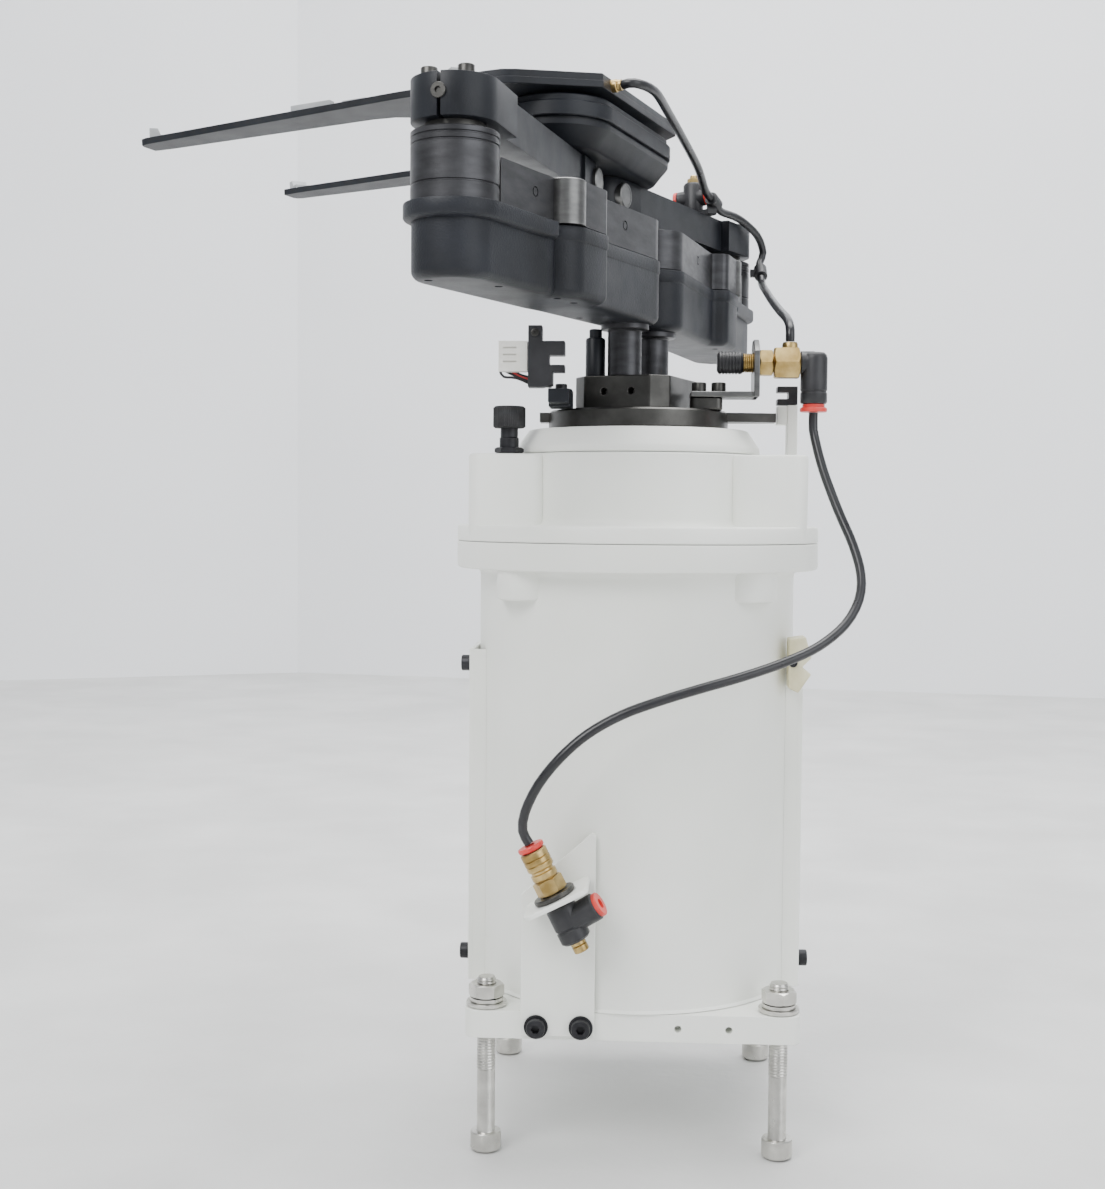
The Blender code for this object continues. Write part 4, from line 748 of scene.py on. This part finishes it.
def turret():
    arm = [(30.0, -9.0), (46.0, -8.0), (61.0, -5.0), (61.0, 5.0), (46.0, 8.0), (30.0, 9.0)]
    joins = [tool_prism(arm, 258.6, 262.6), tool_prism(rectangle(-43.8, -36.0, -6.0, 5.0), 258.2, 262.4)]
    disc = [(0, DISC_LOW_Z), (DISC_R - 0.5, DISC_LOW_Z), (DISC_R, DISC_LOW_Z + 0.5),
        (DISC_R, DISC_TOP_Z - 0.8), (DISC_R - 0.8, DISC_TOP_Z), (0, DISC_TOP_Z)]
    turned("turret_disc_skin", disc, DARK_STEEL, "turret", 96, joins=joins, smooth_deg=30)
    turned("spindle_skin", [(0, 112.0), (18.0, 112.0), (18.0, 121.0), (14.0, 121.0), (14.0, 254.6),
        (0, 254.6)], BARE, "turret", 64)
    prism("bracket_spacer", rounded(22.6, 36.5, -24.0, -7.5, 3.0), DISC_TOP_Z, 268.1, DARK_STEEL, "turret",
        edge=0.5)
    x, y, c = 22.0, 27.5, 7.0
    outline = [(x, -y + c), (x, y - c), (x - c, y), (-x + c, y), (-x, y - c), (-x, -y + c), (-x + c, -y),
        (x - c, -y)]
    turn = Matrix.Rotation(BLOCK_TURN, 4, "Z")
    holes = [tool_turned(cylinder(1.3, -5, 5), 24, turn @ at((a, -y, 270.6), (0, 1, 0))) for a in (-6.0, 6.5)]
    prism("turret_block_skin", outline, DISC_TOP_Z + GAP, BLOCK_TOP_Z, DARK_STEEL, "turret", turn,
        cutters=holes, edge=0.7)
    for side, spot in SHOULDER.items():
        turned(f"hub_post_{side}_skin",
            [(0, BLOCK_TOP_Z), (3.8, BLOCK_TOP_Z), (3.8, 306.0), (9.0, 306.0), (9.0, 319.8),
            (0, 319.8)], STEEL, "turret", 48, place_matrix(spot), replaces=[f"hub_pulley_{side}"])
    post = [(0, BLOCK_TOP_Z), (4.3, BLOCK_TOP_Z), (4.3, 293.8), (3.9, 294.5), (2.8, 294.8), (2.8, 298.0),
        (2.4, 298.4), (0, 298.4)]
    turned("arm_stop_post_skin", post, BLACK, "turret", 40, place_matrix((-19.0, -13.0, 0)))

    prism("sensor_bracket_skin", rounded(-38.5, -28.4, -33.5, -16.0, 2.0), DISC_TOP_Z + GAP, 271.0, BLACK,
        "turret", edge=0.5)
    prism("sensor_bracket_arm", rectangle(-38.0, -29.0, -46.0, -26.0), 264.2, 270.2, BLACK, "turret",
        edge=0.5)
    cap_screw("sensor_bracket_screw", at((-33.5, -22.0, 271.0)), 2.6, 2.8, "turret")
    outline = [(-46.5, 270.6), (-40.6, 270.6), (-36.0, 271.5), (-36.0, 277.0), (-31.0, 277.0),
        (-31.0, 280.0), (-37.5, 280.0),
        (-37.5, 284.0), (-31.0, 284.0), (-31.0, 290.0), (-40.6, 290.0), (-40.6, 296.5), (-46.5, 296.5)]
    prism("arm_sensor_skin", outline, 0.0, 8.0, PLASTIC, "turret", upright_at(-38.0), edge=0.35)
    cap_screw("arm_sensor_screw", at((-43.6, -46.0, 293.4), (0, -1, 0)), 1.7, 1.0, "turret", DARK_STEEL)
    plug_holes = [tool_prism(rectangle(-60.0, -56.6, 278.4 + 2.9 * k, 280.4 + 2.9 * k), 1.4, 4.6,
        upright_at(-39.0)) for k in range(4)]
    ribs = [tool_prism(rectangle(-57.0, -51.5, 281.0 + 2.9 * k, 281.7 + 2.9 * k), 5.2, 7.0,
        upright_at(-39.0)) for k in range(3)]
    prism("sensor_plug_skin", rectangle(-59.0, -46.9, 277.3, 290.0), 0.0, 6.0, PALE, "turret",
        upright_at(-39.0), cutters=plug_holes + ribs)
    for k in range(4):
        z = 279.4 + 2.9 * k
        finish = WIRE_RED if k == 2 else PLASTIC
        run = [Vector(p) for p in ((-57.6, -42.0, z), (-58.4, -42.0, z + 0.2), (-58.7, -41.0, z - 1.5),
            (-57.2, -39.0, z - 4.0), (-52.0, -37.4, 275.0 + 0.8 * k), (-44.0, -36.6, 272.0 + 0.9 * k),
            (-37.0, -35.6, 271.6))]
        piece(f"sensor_wire_{k + 1}", swept(smooth_path(run, 1.6), 0.55, 10), finish, "turret", smooth_deg=60)

    prism("turret_bracket_skin", rectangle(22.6, 52.0, -25.0, -7.0), 268.3, 270.8, BARE, "turret", edge=0.5)
    hole = tool_turned(cylinder(4.7, -6, 6), 32, at((51.0, TURRET_PORT[1], UNION_Z), (1, 0, 0)))
    upright = [(-28.0, 268.3), (-7.0, 268.3), (-7.0, 288.0), (-12.0, 293.4), (-20.0, 293.4), (-28.0, 288.0)]
    prism("union_plate", upright, 0.0, 2.4, BARE, "turret",
        place_matrix((49.6, 0, 0), tilt=Matrix(((0, 0, 1), (1, 0, 0), (0, 1, 0)))), cutters=[hole], edge=0.4)
    for k, x in enumerate((26.5, 35.0)):
        cap_screw(f"turret_bracket_screw_{k + 1}", at((x, -15.0, 270.8)), 3.2, 4.4, "turret", DARK_STEEL)


def turret_union():
    x_end, y = TURRET_PORT
    sideways = at((0, y, UNION_Z), (1, 0, 0))
    flat_up = sideways @ Matrix.Rotation(pi / 6, 4, "Z")
    top = UNION_Z + 7.4 * cos(pi / 6)
    sleeve = [(0, 34.0), (3.6, 34.0), (4.4, 34.6)]
    x = 35.0
    while x < 43.5:
        sleeve += [(4.9, x), (4.9, x + 0.7), (4.5, x + 0.9), (4.5, x + 1.2)]
        x += 1.4
    sleeve += [(4.9, 44.2), (4.3, 45.2), (0, 45.2)]
    turned("union_sleeve", sleeve, PLASTIC, "turret", 40, sideways)
    thread = [(0, 45.0)]
    x = 45.2
    while x < 58.4:
        thread += [(3.85, x), (4.2, x + 0.35), (4.2, x + 0.55), (3.85, x + 0.9)]
        x += 0.9
    thread += [(4.2, 58.9), (4.2, 69.9), (0, 69.9)]
    turned("union_thread", thread, BRASS, "turret", 40, sideways, replaces=["union_body"], smooth_deg=50)
    hexagon("union_nut", flat_up, 10.7, 52.3, 58.0, BRASS, "turret")
    hexagon("union_hex", flat_up, 12.8, 58.6, 69.6, BRASS, "turret")
    turned("union_port", [(0, top - 0.4), (3.4, top - 0.4), (3.4, top + 1.6), (3.0, top + 2.5),
        (0, top + 2.5)], BRASS, "turret", 32, place_matrix((65.5, y, 0)))
    inlet = tool_turned(cylinder(5.2, 70.3, 76.0), 40, sideways)
    turned("union_elbow_skin", [(0, 266.0), (5.3, 266.0), (5.8, 266.6), (5.8, 270.5), (5.45, 270.9),
        (5.45, 271.4), (5.8, 271.8), (5.8, 285.4), (5.4, 287.0), (4.4, 288.0), (3.0, 288.2), (3.0, 287.2),
        (0, 287.2)], PLASTIC, "turret", 48, place_matrix((x_end, y, 0)), joins=[inlet], smooth_deg=40)
    turned("union_ring_skin", [(2.2, 262.4), (5.6, 262.4), (5.9, 262.8), (5.9, 263.8), (5.6, 264.2),
        (4.8, 264.6), (4.8, 265.7), (2.2, 265.7)], RED, "turret", 48, place_matrix((x_end, y, 0)))


# ---------------------------------------------------------------- arms

def arm_outline(hub_r, elbow_r, boss_y, steps=28):
    points = arc(0, 0, hub_r, 90, 270, steps)
    points += [(54.0, -hub_r), (58.0, -hub_r - 0.12 * (elbow_r - hub_r)), (62.0, -(hub_r + elbow_r) / 2),
        (66.0, -elbow_r + 0.12 * (elbow_r - hub_r)), (70.0, -elbow_r)]
    points += arc(LINK, 0, elbow_r, -90, 90, steps)
    points += [(104.0, elbow_r), (98.5, elbow_r + 0.6)]
    points += arc(82.0, boss_y - 12.5, 12.5, 24, 90, 10)
    points += [(64.0, boss_y), (61.6, boss_y - 0.8), (60.2, boss_y - 2.6), (59.4, hub_r + 2.2),
        (58.6, hub_r + 0.7), (57.0, hub_r)]
    return points


COVER_SCREWS = ((-4.0, 8.0), (-4.0, -8.0), (52.0, 8.0), (52.0, -8.0), (112.0, 8.5), (112.0, -8.5),
    (80.0, 15.0))


def upper_arm(side):
    sign = SIGN[side]
    body = f"upper_arm_{side}"
    move = place_matrix(SHOULDER[side], ARM_TURN[side])
    elbow = place_matrix(ELBOW[side], ARM_TURN[side])
    line = mirrored(arm_outline(14.6, 15.6, 22.0), sign)
    levels = [(ARM_LOW_Z, 4.0)]
    for k in range(1, 7):
        a = radians(15 * k)
        levels.append((ARM_LOW_Z + 3.4 * (1 - cos(a)), 4.0 - 4.0 * sin(a)))
    levels += [(ARM_SEAM_Z - 5.0, 0.0)]
    hole = tool_turned(cylinder(4.6, 298, 306), 32, move)
    bottom_holes = [tool_turned(cylinder(1.6, 298, 303), 20, move @ place_matrix((x, y * sign, 0)))
        for x, y in ((74.0, 13.0), (88.0, 13.0), (126.0, 9.0), (150.0, -6.0), (30.0, -7.0))]
    piece(f"casting_{side}_skin", lambda work: add_levels(work, line, levels), CAST, body, move,
        cutters=[hole] + bottom_holes, replaces=[f"arm_casting_{side}", f"arm_belt_{side}"], smooth_deg=40)
    flange = mirrored(arm_outline(15.0, 18.6, 22.6), sign)
    piece(f"casting_flange_{side}", lambda work: add_levels(work, flange, [
        (ARM_SEAM_Z - 6.6, 1.8), (ARM_SEAM_Z - 5.9, 0.5), (ARM_SEAM_Z - 5.2, 0.0), (ARM_SEAM_Z - 0.7, 0.0),
        (ARM_SEAM_Z - 0.2, 0.2), (ARM_SEAM_Z, 0.7)]), CAST, body, move, smooth_deg=40)

    seat = tool_turned(cylinder(ELBOW_R + GAP, 320, 360), 96, elbow)
    cover = mirrored(arm_outline(14.0, 14.2, 21.8, 16), sign)
    marks = []
    for x, y_side in ((30.0, 1), (40.0, -1), (108.0, 1)):
        y0 = y_side * sign * (14.0 if x < 60 else 14.2)
        marks.append(tool_turned([(1.5, -0.6), (2.1, -0.6), (2.1, 0.6), (1.5, 0.6)], 24,
            move @ at((x, y0, 337.0), (0, y_side * sign, 0))))
    top_holes = [tool_turned(cylinder(3.1, ARM_COVER_TOP_Z - 3.0, 350), 32,
        move @ place_matrix((x, y * sign, 0))) for x, y in COVER_SCREWS]
    prism(f"arm_cover_{side}_skin", cover, ARM_SEAM_Z + GAP, ARM_COVER_TOP_Z, STEEL, body, move,
        cutters=[seat] + marks + top_holes, edge=0.45)
    for k, (x, y) in enumerate(COVER_SCREWS):
        cap_screw(f"cover_screw_{side}_{k + 1}", move @ place_matrix((x, y * sign, ARM_COVER_TOP_Z - 3.0)),
            2.75, 2.6, body)
    boss = [(0, ARM_SEAM_Z + GAP), (8.0, ARM_SEAM_Z + GAP), (8.0, ARM_COVER_TOP_Z - 0.3),
        (7.6, ARM_COVER_TOP_Z + 0.1), (0, ARM_COVER_TOP_Z + 0.1)]
    turned(f"bright_boss_{side}", boss, BARE, body, 64, move @ place_matrix((86.0, 15.2 * sign, 0)))

    low, top = ARM_SEAM_Z + GAP, ELBOW_HOUSING_TOP_Z
    housing = [(4.9, low), (ELBOW_R, low)]
    for z in (low + 5.5, top - 5.4, top - 2.9):
        housing += [(ELBOW_R, z), (ELBOW_R - 0.45, z + 0.25), (ELBOW_R - 0.45, z + 0.65), (ELBOW_R, z + 0.9)]
    housing += [(ELBOW_R, top - 0.5), (ELBOW_R - 0.5, top), (4.9, top)]
    turned(f"elbow_housing_{side}_skin", housing, STEEL, body, 96, elbow)
    shaft = [(4.2, BLOCK_TOP_Z + GAP), (7.4, BLOCK_TOP_Z + GAP), (7.4, ARM_LOW_Z - 3.4),
        (7.9, ARM_LOW_Z - 2.8), (10.2, ARM_LOW_Z - 2.4), (10.5, ARM_LOW_Z - 2.1), (10.5, ARM_LOW_Z - 0.1),
        (4.2, ARM_LOW_Z - 0.1)]
    turned(f"shoulder_shaft_{side}_skin", shaft, STEEL, body, 64, move)


def forearm(side):
    sign = SIGN[side]
    body = f"forearm_{side}"
    spot = ELBOW[side]
    turn = FOREARM_TURN[side]
    move = place_matrix(spot, turn)
    outline = link_outline(LINK, ELBOW_R, WRIST_R, 40)
    relief = tool_prism(mirrored([(24.0, -20.0), (124.0, -20.0), (124.0, -9.4), (24.0, -10.6)], sign), 350,
        375, move)
    slot = tool_prism(rectangle(-18.0, -3.0, -0.7, 0.7), 350, 375, move)
    piece(f"forearm_{side}_skin", lambda work: add_levels(work, outline, [
        (FOREARM_LOW_Z, 0.5), (FOREARM_LOW_Z + 0.15, 0.15), (FOREARM_LOW_Z + 0.5, 0.0),
        (FOREARM_TOP_Z - 0.5, 0.0),
        (FOREARM_TOP_Z - 0.15, 0.15), (FOREARM_TOP_Z, 0.5)]), BLACK, body, move, cutters=[relief, slot],
        smooth_deg=30)
    shaft = [(0, 306.0), (4.5, 306.0), (4.5, ELBOW_HOUSING_TOP_Z + 0.1), (11.0, ELBOW_HOUSING_TOP_Z + 0.1),
        (11.0, FOREARM_LOW_Z), (0, FOREARM_LOW_Z)]
    turned(f"elbow_shaft_{side}_skin", shaft, DARK_STEEL, body, 48, place_matrix(spot))
    pin = [(0, FOREARM_LOW_Z - 1.5), (6.7, FOREARM_LOW_Z - 1.5), (7.0, FOREARM_LOW_Z - 1.2),
        (7.0, FOREARM_LOW_Z), (4.0, FOREARM_LOW_Z), (4.0, CUP_LOW_Z + 5.0), (0, CUP_LOW_Z + 5.0)]
    turned(f"wrist_pin_{side}_skin", pin, DARK_STEEL, body, 48, place_matrix(WRIST[side]))
    turned(f"wrist_cover_{side}", [(0, FOREARM_TOP_Z), (8.6, FOREARM_TOP_Z), (8.6, FOREARM_TOP_Z + 0.35),
        (8.2, FOREARM_TOP_Z + 0.5),
        (0, FOREARM_TOP_Z + 0.5)], DARK_STEEL, body, 48, place_matrix(WRIST[side]))
    outward = (spot - WRIST[side]).normalized()
    for k, (x, y) in enumerate(((-7.5, 7.0), (-7.5, -7.0))):
        cap_screw(f"clamp_screw_{side}_{k + 1}", move @ place_matrix((x, y, FOREARM_TOP_Z)), 3.0, 3.4, body,
            DARK_STEEL)
    end = spot + outward * (ELBOW_R - 0.1) + Vector((0, 0, 364.0))
    turned(f"set_screw_{side}", [(0, 0.1), (1.2, 0.1), (1.2, 0.9), (2.6, 0.9), (2.8, 0.7), (2.8, 0), (0, 0)],
        DARK_STEEL, body, 24, at(end, outward))
    back = Vector((outward.y, -outward.x, 0))
    if back.dot(FORWARD) > 0:
        back = -back
    centre = WRIST[side] + back * WRIST_R + Vector((0, 0, 363.2))
    turned(f"end_plug_{side}", [(0, -1.5), (5.6, -1.5), (5.8, 0.2), (5.8, 1.6), (5.4, 2.0), (4.6, 2.0),
        (4.5, 1.85), (0, 1.85)], BARE, body, 48, at(centre, back))


# ---------------------------------------------------------------- wrist and fork

def wrist():
    outline = arc(0, CUP_HALF, CUP_R, 0, 180, 48) + arc(0, -CUP_HALF, CUP_R, 180, 360, 48)
    levels = [(CUP_LOW_Z, 8.0), (CUP_LOW_Z + 0.6, 7.0), (376.0, 4.0), (378.5, 1.8), (379.6, 1.0),
        (CUP_GROOVE_Z - 0.9, 0.9),
        (CUP_GROOVE_Z - 0.7, 2.0), (CUP_GROOVE_Z + 0.3, 2.0), (CUP_GROOVE_Z + 0.5, 0.3),
        (CUP_GROOVE_Z + 0.9, 0.0),
        (CUP_TOP_Z - 3.4, 0.0), (CUP_TOP_Z - 2.9, 0.5), (CUP_TOP_Z - 2.7, 1.6), (CUP_TOP_Z - 0.5, 1.6),
        (CUP_TOP_Z, 2.1)]
    move = place_matrix(WRIST_CENTRE, BLOCK_TURN)
    holes = [tool_turned(cylinder(4.6, 370, 377.5), 32, place_matrix(WRIST[side])) for side in WRIST]
    piece("wrist_cup_skin", lambda work: add_levels(work, outline, levels), BLACK, "wrist", move,
        cutters=holes, smooth_deg=32)


def fork():
    def half(y_sign):
        points = [(-25.0, 47.0), (4.0, 71.0), (9.0, 73.9), (16.0, 74.8), (58.0, 75.0),
            (TIP_REACH + 3.0, TIP_HALF + 7.5),
            (TIP_REACH + 6.0, TIP_HALF + 6.4), (TIP_REACH + 7.0, TIP_HALF + 4.0),
            (TIP_REACH + 7.0, TIP_HALF - 5.0),
            (TIP_REACH - 2.0, TIP_HALF - 6.0), (82.0, 51.0), (72.0, 49.0), (64.0, 44.0), (56.0, 34.0),
            (50.5, 24.0), (48.0, 12.0)]
        return [(x, y * y_sign) for x, y in points]

    base_matrix = Matrix.Translation(WRIST_CENTRE + Vector((0, 0, FORK_Z))) @ fork_matrix().to_4x4()
    outline = half(-1) + list(reversed(half(1)))
    prism("fork_skin", outline, 0.0, BLADE_THICK, BLACK, "wrist", base_matrix, edge=0.35)
    yoke = [(-24.8, -46.9), (4.1, -70.8), (9.0, -73.7), (16.0, -74.5), (50.0, -74.6), (50.0, -48.0),
        (46.0, -16.0), (46.0, 16.0),
        (50.0, 48.0), (50.0, 74.6), (16.0, 74.5), (9.0, 73.7), (4.1, 70.8), (-24.8, 46.9)]
    prism("fork_yoke", yoke, BLADE_THICK - 0.5, YOKE_THICK, BLACK, "wrist", base_matrix, edge=0.5)
    for k, (x, y) in enumerate(((-12.0, -30.0), (-12.0, 30.0), (18.0, -30.0), (18.0, 30.0), (2.0, 0.0))):
        cap_screw(f"fork_screw_{k + 1}", base_matrix @ place_matrix((x, y, YOKE_THICK)), 2.75, 1.9, "wrist",
            SCREW)
    centre_v = TIP_REACH - sqrt(WAFER_R ** 2 - TIP_HALF ** 2)
    root_u = 66.0
    root_v = centre_v - sqrt(WAFER_R ** 2 - root_u ** 2)
    upright = Matrix.Rotation(radians(90), 4, "X")
    for sign in (-1, 1):
        name = "near" if sign > 0 else "far"
        for place_, v, u in (("tip", TIP_REACH, TIP_HALF * sign), ("root", root_v, root_u * sign)):
            away = atan2(u, v - centre_v)
            level = BLADE_THICK if v > 100 else YOKE_THICK
            shape = [(-5.0, level - 0.5), (5.0, level - 0.5), (5.0, level + 4.6), (1.2, level + 4.6),
                (0.0, level + 1.8), (-5.0, level + 1.6)]
            spun = Matrix.Translation((v, u, 0)) @ Matrix.Rotation(away, 4, "Z") @ upright
            prism(f"wafer_pad_{place_}_{name}", shape, -4.0, 4.0, GREY, "wrist", base_matrix @ spun, edge=0.3)
        for place_, v, long_half, height in (("front", 104.0, 10.0, 3.6), ("back", 82.0, 6.0, 2.2)):
            prism(f"edge_guide_{place_}_{name}",
                rectangle(v - long_half, v + long_half, sign * 66.0 - 2.0, sign * 66.0 + 2.0),
                BLADE_THICK - 0.5, BLADE_THICK + height, GREY, "wrist", base_matrix, edge=0.3)
    back = fork_matrix() @ Vector((-1, 0, 0))
    start = fork_spot(FORK_PORT_V, FORK_PORT_Y, YOKE_THICK / 2)
    turned("fork_port_skin", [(0, -1.0), (2.7, -1.0), (2.7, 1.8), (2.3, 2.2), (2.5, 2.6), (2.3, 3.0),
        (2.3, 4.0), (0, 4.0)], BRASS, "wrist", 32, at(start, back))


def arm_fittings():
    x, y = 27.5, 124.0
    low = FOREARM_TOP_Z + GAP
    across = Vector((0.93, -0.33, 0.12)).normalized()
    centre = Vector((x, y, low + 10.5))
    spot = FOREARM_CLIP
    barrel = tool_turned([(0, -8.0), (4.2, -8.0), (4.6, -7.6), (4.6, 6.1), (4.2, 6.5), (0, 6.5)], 40,
        at(centre, across))
    strip = tool_prism([(x - 3.0, y - 4.0), (spot.x - 3.0, spot.y - 2.5), (spot.x + 1.5, spot.y - 1.5),
        (spot.x + 1.5, spot.y + 1.5), (x + 3.0, y + 4.0)], low, low + 2.4)
    foot = tool_prism(rectangle(spot.x - 3.5, spot.x + 1.5, spot.y - 1.5, spot.y + 1.5), low + 1.0, 376.0)
    clip = tool_turned([(0, -4.0), (3.2, -4.0), (3.4, -3.8), (3.4, 3.8), (3.2, 4.0), (0, 4.0)], 40,
        at(spot, FOREARM_CLIP_DIRECTION))
    turned("forearm_fitting_skin",
        [(0, low), (5.0, low), (5.2, low + 0.3), (5.2, low + 17.0), (4.3, low + 18.2), (0, low + 18.2)],
        PLASTIC, "forearm_right", 48, place_matrix((x, y, 0)), joins=[barrel, strip, foot, clip],
        smooth_deg=40)
    for name, a, b in (("outer", 6.6, 8.4), ("inner", -8.1, -9.9)):
        d = 1 if b > a else -1
        turned(f"forearm_fitting_ring_{name}",
            [(0, a), (4.5, a), (4.7, a + 0.2 * d), (4.7, b - 0.3 * d), (4.4, b), (1.9, b),
            (1.9, b - 1.0 * d), (0, b - 1.0 * d)], RED, "forearm_right", 40, at(centre, across))
    top = low + 18.0
    hexagon("forearm_fitting_hex", place_matrix((x, y, 0)), 5.6, top, top + 2.6, BRASS, "forearm_right")
    turned("forearm_fitting_tip", [(0, top + 2.5), (1.9, top + 2.5), (1.9, top + 3.9), (1.5, top + 4.4),
        (0, top + 4.4)], BRASS, "forearm_right", 24, place_matrix((x, y, 0)))
    spot = ARM_CLIP
    foot = tool_prism(rectangle(ELBOW["right"].x + ELBOW_R + 0.1, spot.x, spot.y - 1.5, spot.y + 1.5), 344.5,
        348.5)
    turned("arm_tube_clip_skin", [(0, -4.0), (3.2, -4.0), (3.4, -3.8), (3.4, 3.8), (3.2, 4.0), (0, 4.0)],
        PLASTIC, "upper_arm_right", 40, at(spot, ARM_CLIP_DIRECTION), joins=[foot], smooth_deg=40)


def hidden_parts():
    """Kept CAD nodes inside the drum get their own finishes."""
    for node, finish in (("turn_motor", BLACK), ("arm_motor", BLACK), ("bearing_web", BARE),
            ("upper_bearing", BARE)):
        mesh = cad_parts[node].data
        mesh.materials.clear()
        mesh.materials.append(finish)


camera()
stage()
air_tubes()
base()
tube_bracket()
supply_fitting()
trim()
turret()
turret_union()
for arm_side in SHOULDER:
    upper_arm(arm_side)
    forearm(arm_side)
wrist()
fork()
arm_fittings()
hidden_parts()
